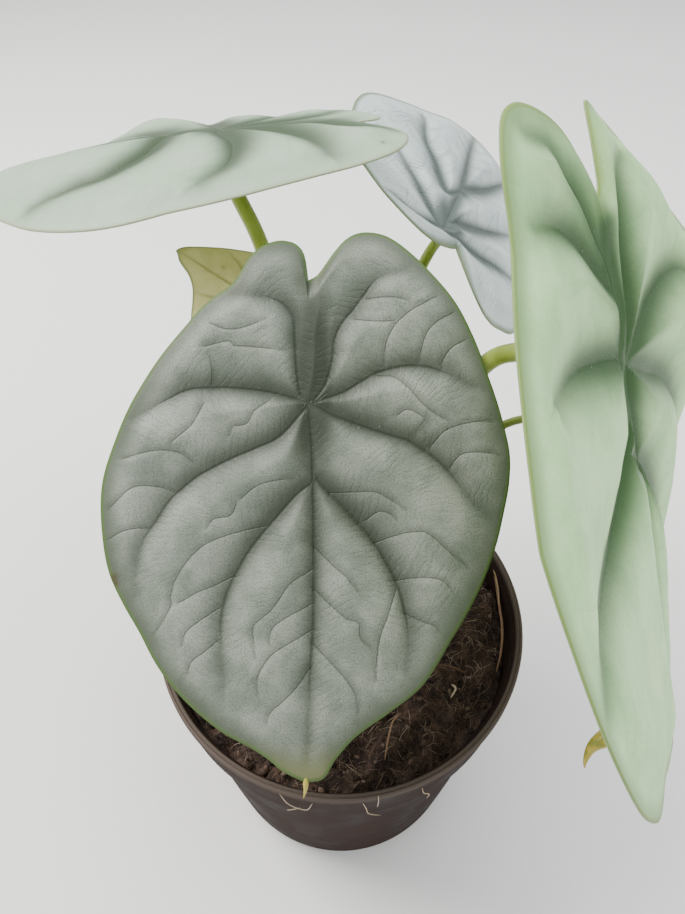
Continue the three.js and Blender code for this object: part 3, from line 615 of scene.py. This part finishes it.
def leafSkin(name, leaf):
    # A living aroid blade: waxy skin over green, silvered by air below it, so satin with a soft sheen.
    material, tree, shader = newMaterial(
        "aroid_leaf_skin_" + name, Roughness=0.46, IOR=1.42, Specular_IOR_Level=0.4)
    read = {key: addNode(tree, "Attribute", attribute_name=key).outputs["Fac"] for key in (
        "valley", "rim", "spot", "run", "inside", "mainGap", "mainSide", "fineGap", "fineSide", "under")}
    flat = addNode(tree, "Attribute", attribute_name="flat").outputs["Vector"]
    # flat coordinates are in mm, so a scale is one over the size of a feature in mm
    cloud, patch, grain, warp, speck = (
        addNode(tree, "TexNoise", {
            "Vector": flat, "Scale": 1 / size, "Detail": 3.0, "Roughness": 0.6})
        for size in (16, 9, 0.42, 3.2, 1.1))
    # tertiary veins: ripples 2.1 mm apart that leave the main veins like the barbs of a feather
    wander = addNode(tree, "Math", {0: warp, 1: 11.0}, operation="MULTIPLY")
    phase = addNode(tree, "Math", {
        0: read["run"], 1: 2 * math.pi / 2.1, 2: wander}, operation="MULTIPLY_ADD")
    wave = addNode(tree, "Math", {0: phase}, operation="SINE")
    down = addNode(tree, "SeparateXYZ", {"Vector": flat}).outputs["Y"]
    offMain, offFine = (addNode(tree, "Math", {0: read[key]}, operation="ABSOLUTE")
                        for key in ("mainSide", "fineSide"))
    # each band turns a value between two bounds into a share between two others
    bands = {}
    for key, value, low, high, atLow, atHigh in (
            ("clouds", cloud, 0.35, 0.65, 0.0, 1.0),
            ("grains", grain, 0.35, 0.75, 0.0, 0.4 * leaf["grain"]),
            ("sheen", grain, 0.3, 0.7, 0.42, 0.56),
            # valley: the veins' own dark green with painted shade laid on their soft side
            ("dark", read["valley"], 0.0, 0.85, 0.0, 0.97),
            ("rim", read["rim"], *leaf["rimWidth"], 0.78, 0.0),
            ("edge", read["rim"], *leaf["edgeWidth"], 0.9, 0.0),
            ("mainCore", offMain, 0.0, 0.7, 1.0, 0.0),
            ("mainNear", read["mainGap"], 0.6, 1.5, 1.0, 0.0),
            ("fineCore", offFine, 0.0, 0.3, 1.0, 0.0),
            ("fineNear", read["fineGap"], 0.5, 1.2, 1.0, 0.0),
            # painted shade on the long soft slope beside each fine vein, up to 2.4 mm wide
            ("paintedShadeUp", read["fineSide"], -2.4, 0.0, 0.0, 1.0),
            ("paintedShadeEnd", read["fineSide"], 0.0, 0.3, 1.0, 0.0),
            ("paintedShadeNear", read["fineGap"], 1.6, 2.6, leaf["fineRelief"], 0.0),
            ("barb", wave, 0.2, 1.0, 0.0, 1.0),
            ("barbPatch", patch, 0.4, 0.6, 0.15, leaf["ripple"]),
            ("barbInner", read["rim"], 2.0, 6.0, 0.0, 1.0),
            ("tip", down, 0.88 * leaf["length"], leaf["length"], 0.0, 0.7),
            ("fleck", speck, 0.7, 0.74, 0.0, 1.0),
            ("fleckNear", read["mainGap"], 1.0, 3.0, 1.0, 0.0)):
        bands[key] = addNode(tree, "MapRange", {
            "Value": value, "From Min": low, "From Max": high, "To Min": atLow, "To Max": atHigh},
            interpolation_type="SMOOTHSTEP")
    for key, first, second in (
            ("mainLine", "mainCore", "mainNear"), ("fineLine", "fineCore", "fineNear"),
            ("paintedShadeSide", "paintedShadeUp", "paintedShadeEnd"), ("slope", "paintedShadeSide", "paintedShadeNear"),
            ("barbs", "barb", "barbPatch"), ("barbsInner", "barbs", "barbInner"),
            ("ripple", "barbsInner", "inside"), ("flecks", "fleck", "fleckNear")):
        second = bands.get(second, read.get(second))
        bands[key] = addNode(tree, "Math", {0: bands[first], 1: second}, operation="MULTIPLY")

    colour = addNode(tree, "Mix", {
        0: bands["clouds"], 6: linear(leaf["mid"]), 7: linear(leaf["pale"])}, data_type="RGBA")
    # dark lays on the veins' dark green with its painted shade; slope is painted shade on the soft side
    # of each fine vein
    for key, strength, tint in (
            ("ripple", 0.11, "valley"), ("grains", 0.9, "valley"), ("slope", 0.36, "valley"),
            ("fineLine", 0.24 * leaf["fineRelief"], "valley"), ("dark", 1.0, "valley"),
            ("mainLine", 0.15 + 0.35 * leaf["fineRelief"], "line"), ("rim", 1.0, "rim"),
            ("tip", 0.6, "tip"), ("edge", 1.0, "edge"), ("flecks", 0.5, "fleck"), ("spot", 0.8, "spot")):
        share = addNode(tree, "Math", {
            0: bands.get(key, read.get(key)), 1: strength}, operation="MULTIPLY")
        colour = addNode(tree, "Mix", {
            0: share, 6: colour, 7: linear(leaf.get(tint, blotch.get(tint)))}, data_type="RGBA")
    below = addNode(tree, "Mix", {
        0: bands["mainLine"], 6: linear(leaf["under"]), 7: linear(leaf["line"])}, data_type="RGBA")
    whole = addNode(tree, "Mix", {0: read["under"], 6: colour, 7: below}, data_type="RGBA")
    height = addNode(tree, "Math", {0: grain, 1: 0.07}, operation="MULTIPLY")
    for key, depth in (("ripple", -0.075), ("fineLine", -0.15 * leaf["fineRelief"]), ("mainLine", -0.16)):
        height = addNode(tree, "Math", {
            0: bands[key], 1: depth, 2: height}, operation="MULTIPLY_ADD")
    bump = addNode(tree, "Bump", {"Height": height, "Distance": mm, "Strength": 0.9})
    feed(tree, shader, {"Base Color": whole, "Roughness": bands["sheen"], "Normal": bump})
    return material


def taperedTube(name, path, radii):
    # a round tapering thread along a path in mm, drawn as a curve and turned into a mesh
    curve = bpy.data.curves.new(name, "CURVE")
    curve.dimensions = "3D"
    curve.bevel_depth = mm
    curve.bevel_resolution = 4
    curve.use_fill_caps = True
    line = curve.splines.new("POLY")
    line.points.add(len(path) - 1)
    for point, place, radius in zip(line.points, path, radii):
        point.co = (*(np.array(place) * mm), 1)
        point.radius = radius
    obj = bpy.data.objects.new(name, curve)
    bpy.context.collection.objects.link(obj)
    only(obj)
    bpy.ops.object.convert(target="MESH")
    return bpy.context.object


# The thread-like ends of two blades: points and radii in mm
leafTips = {
    "front": {
        "path": [(-8.2, -60.7, 129.4), (-8.2, -61.5, 128.9), (-8.25, -62.4, 128.2), (-8.3, -63.2, 127.6),
                 (-8.5, -64.0, 126.9), (-8.8, -64.9, 126.2)],
        "radii": [0.3, 0.6, 0.7, 0.5, 0.3, 0.08]},
    "low": {
        "path": [(78.6, -40.4, 105.6), (77.5, -42.0, 103.6), (75.8, -43.0, 102.6), (74.3, -43.7, 101.9),
                 (72.8, -44.8, 100.9), (71.8, -46.2, 99.6), (71.2, -47.5, 98.3), (71.0, -48.8, 97.1)],
        "radii": [0.6, 2.4, 2.3, 1.9, 1.4, 0.95, 0.6, 0.2]}}


def mottled(name, stops, size, depth, strength, detail=3.0, squeeze=(1, 1, 1), **values):
    # one noise, whose grain and depth are in mm, gives both the tones and the relief
    material, tree, shader = newMaterial(name, **values)
    spot = addNode(tree, "TexCoord").outputs["Object"]
    squeezed = addNode(tree, "Mapping", {"Vector": spot, "Scale": squeeze})
    cloud = addNode(tree, "TexNoise", {"Vector": squeezed, "Scale": 1 / (size * mm), "Detail": detail})
    ramp = addNode(tree, "ValToRGB", {"Fac": cloud}, stops=stops)
    bump = addNode(tree, "Bump", {"Height": cloud, "Distance": depth * mm, "Strength": strength})
    feed(tree, shader, {"Base Color": ramp, "Normal": bump})
    return material


# The blade's thread-like end dries first: yellow, smooth and a little glossy.
yellowTip = mottled(
    "yellowed_leaf_tip", [(0.35, "#7d8030"), (0.52, "#a8983a"), (0.7, "#b5a352")], size=2.5,
    depth=0.3, strength=0.4, Roughness=0.42, IOR=1.42)
rng = np.random.default_rng(11)
for name, leaf in leaves.items():
    blade = buildBlade(name, leaf, rng)
    dress(blade, leafSkin(name, leaf), "blade_" + name)
    if name in leafTips:
        end = leafTips[name]
        path = spline(end["path"], 6)
        last = len(end["radii"]) - 1
        radii = np.interp(np.linspace(0, last, len(path)), range(last + 1), end["radii"])
        dress(taperedTube("leaf_tip_" + name, path, radii), yellowTip)
    print("leaf", name, "grown:", len(blade.data.polygons), "faces")


def pathThrough(places, steps=400):
    # the solid's own kind of curve: its speed follows the square root of the points' spacing
    p = np.array(places, float)
    p = np.vstack([2 * p[0] - p[1], p, 2 * p[-1] - p[-2]])
    made = []
    t = np.linspace(0, 1, steps // (len(p) - 3), endpoint=False)[:, None]
    for a, b, c, d in zip(p, p[1:], p[2:], p[3:]):
        g0, g1, g2 = (math.sqrt(np.linalg.norm(v - u)) for u, v in ((a, b), (b, c), (c, d)))
        m1 = ((b - a) / g0 - (c - a) / (g0 + g1) + (c - b) / g1) * g1
        m2 = ((c - b) / g1 - (d - b) / (g1 + g2) + (d - c) / g2) * g1
        made.append(b + m1 * t + (3 * c - 3 * b - 2 * m1 - m2) * t**2 + (2 * b - 2 * c + m1 + m2) * t**3)
    return np.vstack([*made, p[-2:-1]])


stalkLook = {"soilLevel": 96, "rootDepth": 22, "crownRing": 8.6, "rings": 70}


def buildStalk(name, leaf):
    look = stalkLook
    tip, up, right = leafAxes(leaf)
    turn = math.radians(leaf["crownAngle"])
    foot = np.array([math.cos(turn), math.sin(turn), 0]) * look["crownRing"]
    lift = lambda height: foot + np.array([0, 0, height])
    under = np.array(leaf["junction"]) - up * (bladeShape["thickness"] / 2 + leaf["stalkGap"])
    path = pathThrough([lift(look["soilLevel"] - look["rootDepth"]), lift(look["soilLevel"]),
                        lift(look["soilLevel"] + leaf["rise"]), *leaf["via"],
                        under - up * leaf["neck"], under])
    total = np.sum(np.linalg.norm(np.diff(path, axis=0), axis=1))
    path = even(path, total / look["rings"])
    t = np.linspace(0, 1, len(path))
    radius = leaf["stalkRoot"] + (leaf["stalkTop"] - leaf["stalkRoot"]) * smoothStep(0, 0.8, t)
    # the neck spreads a little where it meets the blade's underside
    path = np.vstack([path, under + up * (leaf["stalkGap"] + 0.3)])
    radius = np.append(radius * (1 - 0.1 * smoothStep(0.9, 1, t)), leaf["stalkTop"] * 1.15)
    stalk = taperedTube("petiole_" + name, path, radius)
    tree = treeOf(path)
    mark(stalk, "along", [tree.find(p)[1] / len(path) for p in points(stalk) / mm])
    return stalk


def stalkSkin():
    # Fresh petiole: smooth juicy skin with short dark flecks, yellow-green and slightly glossy.
    material, tree, shader = newMaterial(
        "fresh_petiole_skin", Roughness=0.38, IOR=1.42, Subsurface_Weight=0.08,
        Subsurface_Radius=(0.0015, 0.002, 0.0008))
    spot = addNode(tree, "TexCoord").outputs["Object"]
    stretched = addNode(tree, "Mapping", {"Vector": spot, "Scale": (1, 1, 0.3)})
    fleck = addNode(tree, "TexNoise", {
        "Vector": stretched, "Scale": 1 / (1.4 * mm), "Detail": 3.0})
    cloud = addNode(tree, "TexNoise", {"Vector": spot, "Scale": 1 / (14 * mm), "Detail": 2.0})
    base = addNode(tree, "ValToRGB", {"Fac": cloud},
                   stops=[(0.3, "#69762c"), (0.52, "#869638"), (0.7, "#9aaa4a")])
    dark = addNode(tree, "MapRange", {
        "Value": fleck, "From Min": 0.6, "From Max": 0.75, "To Max": 0.55})
    foot = addNode(tree, "MapRange", {
        "Value": addNode(tree, "Attribute", attribute_name="along").outputs["Fac"],
        "From Min": 0.15, "From Max": 0.5, "To Min": 0.7, "To Max": 0.0})
    flecked = addNode(tree, "Mix", {0: dark, 6: base, 7: linear("#5d5a2a")}, data_type="RGBA")
    shaded = addNode(tree, "Mix", {0: foot, 6: flecked, 7: linear("#6a6230")}, data_type="RGBA")
    bump = addNode(tree, "Bump", {"Height": fleck, "Distance": 0.15 * mm, "Strength": 0.4})
    feed(tree, shader, {"Base Color": shaded, "Normal": bump})
    return material


petioleSkin = stalkSkin()
for name, leaf in leaves.items():
    dress(buildStalk(name, leaf), petioleSkin, "stalk_" + name)
print("stalks done")


potShape = {
    "height": 105, "rim": 60, "base": 50, "wall": 1.3, "floor": 2.4, "collar": 18, "collarStep": 1.8,
    "lip": 2.2, "steps": 160, "drains": 6, "drainRing": 34, "drainRadius": 4}


def innerWall(height):
    p = potShape
    return p["base"] + (p["rim"] - p["collarStep"] - p["base"]) / p["height"] * height - p["wall"]


def buildPot():
    p = potShape
    base, rim, top, step = (p[key] for key in ("base", "rim", "height", "collarStep"))
    outer = lambda height: innerWall(height) + p["wall"]
    foot = top - p["collar"]
    profile = [
        (0, 0), (30, 0), (base - 3, 0), (base - 1.5, 0.2), (base - 0.3, 0.8), (base, 2),
        (outer(20), 20), (outer(45), 45), (outer(70), 70), (outer(foot - 3), foot - 3),
        (outer(foot - 1.6) + 0.1, foot - 1.6), (outer(foot) + 1.0, foot - 0.9),
        (outer(foot) + step, foot), (outer(foot) + step + 0.1, foot + 1.2),
        (rim - 0.5, top - 5), (rim - 0.3, top - 3.4), (rim, top - 2.9), (rim, top - 1),
        (rim - 0.25, top - 0.3), (rim - 0.7, top), (rim - 1.1, top - 0.35), (rim - 1.5, top),
        (rim - 1.9, top - 0.2), (rim - p["lip"], top - 0.8), (rim - p["lip"], top - 2.5),
        (innerWall(top - 4) + 0.3, top - 3.5), (innerWall(top - 5), top - 5), (innerWall(70), 70),
        (innerWall(35), 35), (innerWall(p["floor"] + 1.5), p["floor"] + 1.5),
        (innerWall(p["floor"]) - 1.5, p["floor"]), (25, p["floor"]), (0, p["floor"])]
    mesh = bpy.data.meshes.new("nursery_pot")
    steps = [(i, i + 1) for i in range(len(profile) - 1)]
    mesh.from_pydata([(r * mm, 0, z * mm) for r, z in profile], steps, [])
    pot = bpy.data.objects.new("nursery_pot", mesh)
    bpy.context.collection.objects.link(pot)
    only(pot)
    bpy.ops.object.mode_set(mode="EDIT")
    bpy.ops.mesh.select_all(action="SELECT")
    bpy.ops.mesh.spin(steps=p["steps"], angle=2 * math.pi, center=(0, 0, 0), axis=(0, 0, 1))
    bpy.ops.mesh.select_all(action="SELECT")
    bpy.ops.mesh.remove_doubles(threshold=0.00001)
    faceOutward(pot)
    for k in range(p["drains"]):
        turn = 2 * math.pi * k / p["drains"]
        deselect()
        bpy.ops.mesh.primitive_cylinder_add(
            vertices=24, radius=p["drainRadius"] * mm, depth=12 * mm,
            location=(p["drainRing"] * math.cos(turn) * mm, p["drainRing"] * math.sin(turn) * mm, 0))
        drill = bpy.context.object
        only(pot)
        cut = pot.modifiers.new("drain", "BOOLEAN")
        cut.operation = "DIFFERENCE"
        cut.solver = "EXACT"
        cut.object = drill
        bpy.ops.object.modifier_apply(modifier="drain")
        bpy.data.objects.remove(drill, do_unlink=True)
    return pot


def potPlastic():
    # Recycled polypropylene, injection moulded: black-brown, half matt, with dried soil and water dust,
    # and a lighter band at the lip that is partly dust and partly a painted highlight.
    material, tree, shader = newMaterial("recycled_polypropylene", IOR=1.25, Specular_IOR_Level=0.1)
    spot = addNode(tree, "TexCoord").outputs["Object"]
    grit = addNode(tree, "TexNoise", {
        "Vector": spot, "Scale": 1 / (1.1 * mm), "Detail": 4.0, "Roughness": 0.65})
    film = addNode(tree, "TexNoise", {"Vector": spot, "Scale": 1 / (17 * mm), "Detail": 5.0})
    squeezed = addNode(tree, "Mapping", {"Vector": spot, "Scale": (0.25, 0.25, 1)})
    scuff = addNode(tree, "TexNoise", {
        "Vector": squeezed, "Scale": 1 / (0.9 * mm), "Detail": 2.0})
    base = addNode(tree, "ValToRGB", {"Fac": film},
                   stops=[(0.3, "#292020"), (0.52, "#302522"), (0.72, "#3a2d29")])
    specks = addNode(tree, "MapRange", {
        "Value": grit, "From Min": 0.6, "From Max": 0.7, "To Max": 0.55})
    dusty = addNode(tree, "Mix", {0: specks, 6: base, 7: linear("#5c4d41")}, data_type="RGBA")
    height = addNode(tree, "SeparateXYZ", {"Vector": spot}).outputs["Z"]
    # lighter towards the lip's top: partly dust, partly a painted highlight along the rim
    lipDustAndHighlight = addNode(tree, "MapRange", {
        "Value": height, "From Min": 102.5 * mm, "From Max": 104.8 * mm, "To Max": 0.55})
    lipDustedAndHighlit = addNode(tree, "Mix", {0: lipDustAndHighlight, 6: dusty, 7: linear("#786c64")}, data_type="RGBA")
    rough = addNode(tree, "MapRange", {
        "Value": film, "From Min": 0.3, "From Max": 0.7, "To Min": 0.52, "To Max": 0.8})
    bump = addNode(tree, "Bump", {"Height": scuff, "Distance": 0.1 * mm, "Strength": 0.35})
    gritBump = addNode(tree, "Bump", {
        "Height": specks, "Distance": 0.2 * mm, "Strength": 0.6, "Normal": bump})
    feed(tree, shader, {"Base Color": lipDustedAndHighlit, "Roughness": rough, "Normal": gritBump})
    return material


pot = dress(buildPot(), potPlastic(), "pot")
only(pot)
bpy.ops.object.shade_smooth_by_angle(angle=math.radians(35))
print("pot turned")


soilLook = {
    "level": 96, "foot": 2.75, "lump": 1.8, "cells": 180, "crumbs": 2600, "fibres": 7000, "seed": 20.7,
    "fibreLengths": (2.5, 7.5), "fibreRadius": 0.085}


def soilHeight(x, y):
    # mm above the pot's underside: the solid's slow swells with clods and crumbs on them
    s = soilLook["seed"]
    swell = (0.6 * math.sin(x * 0.21 + s) * math.cos(y * 0.17 - s)
             + 0.4 * math.sin(x * 0.47 - y * 0.39 + 2 * s))
    share = math.hypot(x, y) / 56
    clod = noise.turbulence(Vector((x * 0.13, y * 0.13, 1.7)), 4, False)
    crumb = noise.noise(Vector((x * 0.8, y * 0.8, 9.2)))
    return (soilLook["level"] - 1.5 * share * share + soilLook["lump"] * swell + 2.4 * (clod - 0.55)
            + 0.5 * crumb)


def buildSoil():
    soil, share, radius, turn = squareGrid("potting_soil", soilLook["cells"])
    reach = radius * (innerWall(soilLook["level"]) - 0.15)
    x, y = reach * np.cos(turn), reach * np.sin(turn)
    z = np.array([soilHeight(px, py) for px, py in zip(x, y)])
    z[share > 0.9999] -= 0.6
    movePoints(soil, np.stack([x, y, z], axis=1) * mm)
    # the rest of the root ball, down to the pot's floor
    only(soil)
    bpy.ops.object.mode_set(mode="EDIT")
    bpy.ops.mesh.select_mode(type="EDGE")
    bpy.ops.mesh.select_all(action="DESELECT")
    bpy.ops.mesh.select_non_manifold(extend=False, use_boundary=True)
    bpy.ops.mesh.extrude_region_move(TRANSFORM_OT_translate={"value": (0, 0, -0.02)})
    bpy.ops.object.mode_set(mode="OBJECT")
    places = points(soil)
    lower = len(x)
    turn = np.arctan2(places[lower:, 1], places[lower:, 0])
    ring = (innerWall(soilLook["foot"]) - 0.35) * mm
    foot = np.full(len(turn), soilLook["foot"] * mm)
    places[lower:] = np.stack([ring * np.cos(turn), ring * np.sin(turn), foot], axis=1)
    movePoints(soil, places)
    bpy.ops.object.mode_set(mode="EDIT")
    bpy.ops.mesh.select_all(action="DESELECT")
    bpy.ops.mesh.select_non_manifold(extend=False, use_boundary=True)
    bpy.ops.mesh.edge_face_add()
    faceOutward(soil)
    return soil


def scatter(rng, count, reach):
    turn = rng.uniform(0, 2 * math.pi, count)
    radius = reach * np.sqrt(rng.uniform(0, 1, count))
    return np.stack([radius * np.cos(turn), radius * np.sin(turn)], axis=1)


def buildCrumbs(rng):
    # one knobbly grain, copied with its own size and turn for each crumb
    deselect()
    bpy.ops.mesh.primitive_ico_sphere_add(subdivisions=1, radius=1)
    grain = bpy.context.object
    shape = points(grain)
    faces = np.array([tuple(p.vertices) for p in grain.data.polygons])
    bpy.data.objects.remove(grain, do_unlink=True)
    places, allFaces, tones = [], [], []
    for x, y in scatter(rng, soilLook["crumbs"], 54.5):
        size = 0.3 + 1.0 * rng.random() ** 3
        stretch = size * rng.uniform(0.55, 1.25, 3)
        turned = shape * rng.uniform(0.75, 1.2, (len(shape), 1)) * stretch
        angle = rng.uniform(0, 2 * math.pi)
        c, s = math.cos(angle), math.sin(angle)
        u, v, w = turned.T
        turned = np.stack([u * c - v * s, u * s + v * c, w], axis=1)
        allFaces.append(faces + len(shape) * len(places))
        places.append(turned + (x, y, soilHeight(x, y) + 0.3 * size))
        tones += [rng.random()] * len(shape)
    crumbs = meshFrom("soil_crumbs", np.vstack(places) * mm, np.vstack(allFaces))
    mark(crumbs, "tone", tones)
    return crumbs


def buildFibres(rng):
    # coir and peat fibres: bent three-sided threads that lie on the soil
    places, faces, tones = [], [], []
    steps = 4
    for x, y in scatter(rng, soilLook["fibres"], 54):
        length = rng.uniform(*soilLook["fibreLengths"])
        heading = rng.uniform(0, 2 * math.pi)
        bendiness = rng.uniform(-0.5, 0.5)
        lift = rng.uniform(0.1, 2.2)
        radius = soilLook["fibreRadius"] * rng.uniform(0.5, 1.3)
        tone = rng.random()
        path = []
        px, py = x, y
        for i in range(steps + 1):
            if math.hypot(px, py) > 55:
                px, py = px * 55 / math.hypot(px, py), py * 55 / math.hypot(px, py)
            path.append((px, py, soilHeight(px, py) + 0.2 + lift * math.sin(math.pi * i / steps)))
            heading += bendiness + rng.uniform(-0.35, 0.35)
            px += math.cos(heading) * length / steps
            py += math.sin(heading) * length / steps
        first = len(places)
        for i, p in enumerate(path):
            thin = radius * (0.35 if i in (0, steps) else 1)
            for k in range(3):
                turn = 2 * math.pi * k / 3
                side = np.array([-math.sin(heading), math.cos(heading), 0]) * math.cos(turn) * thin
                places.append(np.array(p) + side + np.array([0, 0, math.sin(turn) * thin]))
                tones.append(tone)
        for i in range(steps):
            for k in range(3):
                a, b = first + 3 * i + k, first + 3 * i + (k + 1) % 3
                faces.append((a, b, b + 3, a + 3))
        end = first + 3 * steps
        faces += [(first + 2, first + 1, first), (end, end + 1, end + 2)]
    fibres = meshFrom("soil_fibres", np.array(places) * mm, faces)
    mark(fibres, "tone", tones)
    faceOutward(fibres)
    return fibres


def pottingSoil():
    # Peat with coir: damp, crumbly and very matt, near black with red-brown clumps.
    material, tree, shader = newMaterial(
        "damp_peat_and_coir", Roughness=0.95, IOR=1.4, Specular_IOR_Level=0.25)
    spot = addNode(tree, "TexCoord").outputs["Object"]
    clump = addNode(tree, "TexNoise", {
        "Vector": spot, "Scale": 1 / (5 * mm), "Detail": 5.0, "Roughness": 0.7})
    grit = addNode(tree, "TexNoise", {"Vector": spot, "Scale": 1 / (0.8 * mm), "Detail": 3.0})
    base = addNode(tree, "ValToRGB", {"Fac": clump},
                   stops=[(0.3, "#2b2626"), (0.47, "#463a36"), (0.6, "#5f4c43"), (0.75, "#786456")])
    bump = addNode(tree, "Bump", {"Height": grit, "Distance": 0.8 * mm, "Strength": 0.9})
    feed(tree, shader, {"Base Color": base, "Normal": bump})
    return material


def looseBits(name, roughness, *stops):
    # dry plant matter or mineral grains: matt, each bit in its own tone
    material, tree, shader = newMaterial(name, Roughness=roughness, IOR=1.45, Specular_IOR_Level=0.3)
    spot = addNode(tree, "TexCoord").outputs["Object"]
    grit = addNode(tree, "TexNoise", {"Vector": spot, "Scale": 1 / (0.5 * mm), "Detail": 2.0})
    tone = addNode(tree, "Attribute", attribute_name="tone").outputs["Fac"]
    uneven = addNode(tree, "Math", {0: grit, 1: 0.3}, operation="MULTIPLY")
    mixed = addNode(tree, "Math", {0: tone, 1: uneven}, operation="ADD")
    mixed = addNode(tree, "Math", {0: mixed, 1: 0.15}, operation="SUBTRACT")
    ramp = addNode(tree, "ValToRGB", {"Fac": mixed}, stops=stops)
    bump = addNode(tree, "Bump", {"Height": grit, "Distance": 0.2 * mm, "Strength": 0.5})
    feed(tree, shader, {"Base Color": ramp, "Normal": bump})
    return material


dress(buildSoil(), pottingSoil(), "soil")
crumbSkin = looseBits(
    "peat_crumbs", 0.95, (0.1, "#2f2726"), (0.5, "#473a35"), (0.85, "#5f4c43"), (0.99, "#806d61"))
dress(buildCrumbs(rng), crumbSkin)
fibreSkin = looseBits(
    "coir_fibre", 0.8, (0.1, "#3b2e29"), (0.45, "#604a40"), (0.75, "#83695b"), (0.98, "#b7a292"))
dress(buildFibres(rng), fibreSkin)

# Bare roots on the soil, along the pot's wall and dried on its collar: radius in mm, tone, points in mm
bareRoots = [
    (0.45, 0.55, [(54.6, 24, 98.5), (54.9, 14, 99.6), (54.8, 4, 98.6), (54.2, -5, 99.2),
                  (52.8, -12.5, 98.2), (50, -20, 98)]),
    (0.3, 0.75, [(53.8, 22, 99.5), (54.6, 16, 101), (55, 9, 100.2), (54.4, 1, 98)]),
    (0.35, 0.35, [(31, -17.4, 98.2), (35.1, -19, 99.6), (37.6, -20, 99.5), (40.1, -20.6, 98)]),
    (0.3, 0.95, [(35.1, -24.2, 98), (35.9, -26.4, 99.8), (34.3, -28.6, 98.2)]),
    (0.28, 0.6, [(12.9, -47.2, 98.5), (14.1, -41.6, 99.8), (15.9, -36.3, 99.6), (18.5, -33.3, 98)]),
    (0.13, 1.0, [(-16.6, -57.8, 104.1), (-14.4, -58.5, 97), (-9.7, -59.4, 95.2), (-7.7, -59.7, 102)]),
    (0.12, 0.9, [(-15.5, -58.2, 90.4), (-13.6, -58.7, 93), (-11.3, -59.2, 96.6)]),
    (0.13, 0.85, [(6.1, -59.9, 103.8), (7.2, -59.8, 98), (8.1, -59.7, 92.7), (11.7, -59, 88.2)]),
    (0.12, 1.0, [(10.3, -58.4, 105.2), (10.4, -59.5, 103.6), (10.3, -59.4, 98)]),
    (0.15, 0.8, [(22.6, -56, 103.4), (23.7, -55.5, 97), (25.8, -54.4, 92), (25.4, -54.5, 88.4)])]


def buildRoots():
    made = []
    for i, (radius, tone, path) in enumerate(bareRoots):
        path = spline(path, 8)
        radii = radius * (1 - 0.7 * np.linspace(-1, 1, len(path)) ** 4)
        root = taperedTube("bare_roots", path, radii)
        mark(root, "tone", np.full(len(root.data.vertices), tone))
        made.append(root)
    deselect()
    for root in made:
        root.select_set(True)
    bpy.context.view_layer.objects.active = made[0]
    bpy.ops.object.join()
    return made[0]


rootSkin = looseBits(
    "dry_root_skin", 0.7, (0.3, "#4d3629"), (0.55, "#8a6a55"), (0.75, "#a3886a"), (0.98, "#c9b79c"))
dress(buildRoots(), rootSkin)
print("soil filled")


# Dry corm tunic: papery brown scales over a woody core, matt and ringed.
cormSkin = mottled(
    "papery_corm_tunic", [(0.35, "#3a2a1d"), (0.55, "#6b5138"), (0.7, "#8d7350")], size=1.2,
    depth=0.5, strength=0.8, detail=4.0, squeeze=(0.4, 0.4, 1.6), Roughness=0.85, IOR=1.45)
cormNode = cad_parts["corm"]
cormNode.data.materials.clear()
cormNode.data.materials.append(cormSkin)


# The studio: a flat plane of matt white paper, an even pale surround and two soft lights
deselect()
bpy.ops.mesh.primitive_plane_add(size=6, location=(0, 0, 0))
floor = bpy.context.object
floor.name = "floor"
floor.data.materials.append(newMaterial(
    "matt_white_paper", Base_Color=linear("#f5f4f1"), Roughness=0.9, Specular_IOR_Level=0.2)[0])

world = bpy.data.worlds.new("studio")
bpy.context.scene.world = world
world.use_nodes = True
feed(world.node_tree, world.node_tree.nodes["Background"], {"Color": linear("#f3f5f7"), "Strength": 1.05})


def softLight(name, place, aim, size, power, colour):
    data = bpy.data.lights.new(name, "AREA")
    data.shape = "DISK"
    data.size = size
    data.energy = power
    data.color = linear(colour)[:3]
    light = bpy.data.objects.new(name, data)
    light.location = place
    light.rotation_euler = (Vector(aim) - Vector(place)).to_track_quat("-Z", "Y").to_euler()
    bpy.context.collection.objects.link(light)


softLight("window", (-0.75, 0.35, 1.15), (0, 0, 0.17), 0.7, 25.0, "#fffdf8")
softLight("ceiling", (0.5, 0.2, 1.4), (0, 0, 0.15), 1.2, 11.0, "#f6f9ff")
print("stage and light set")
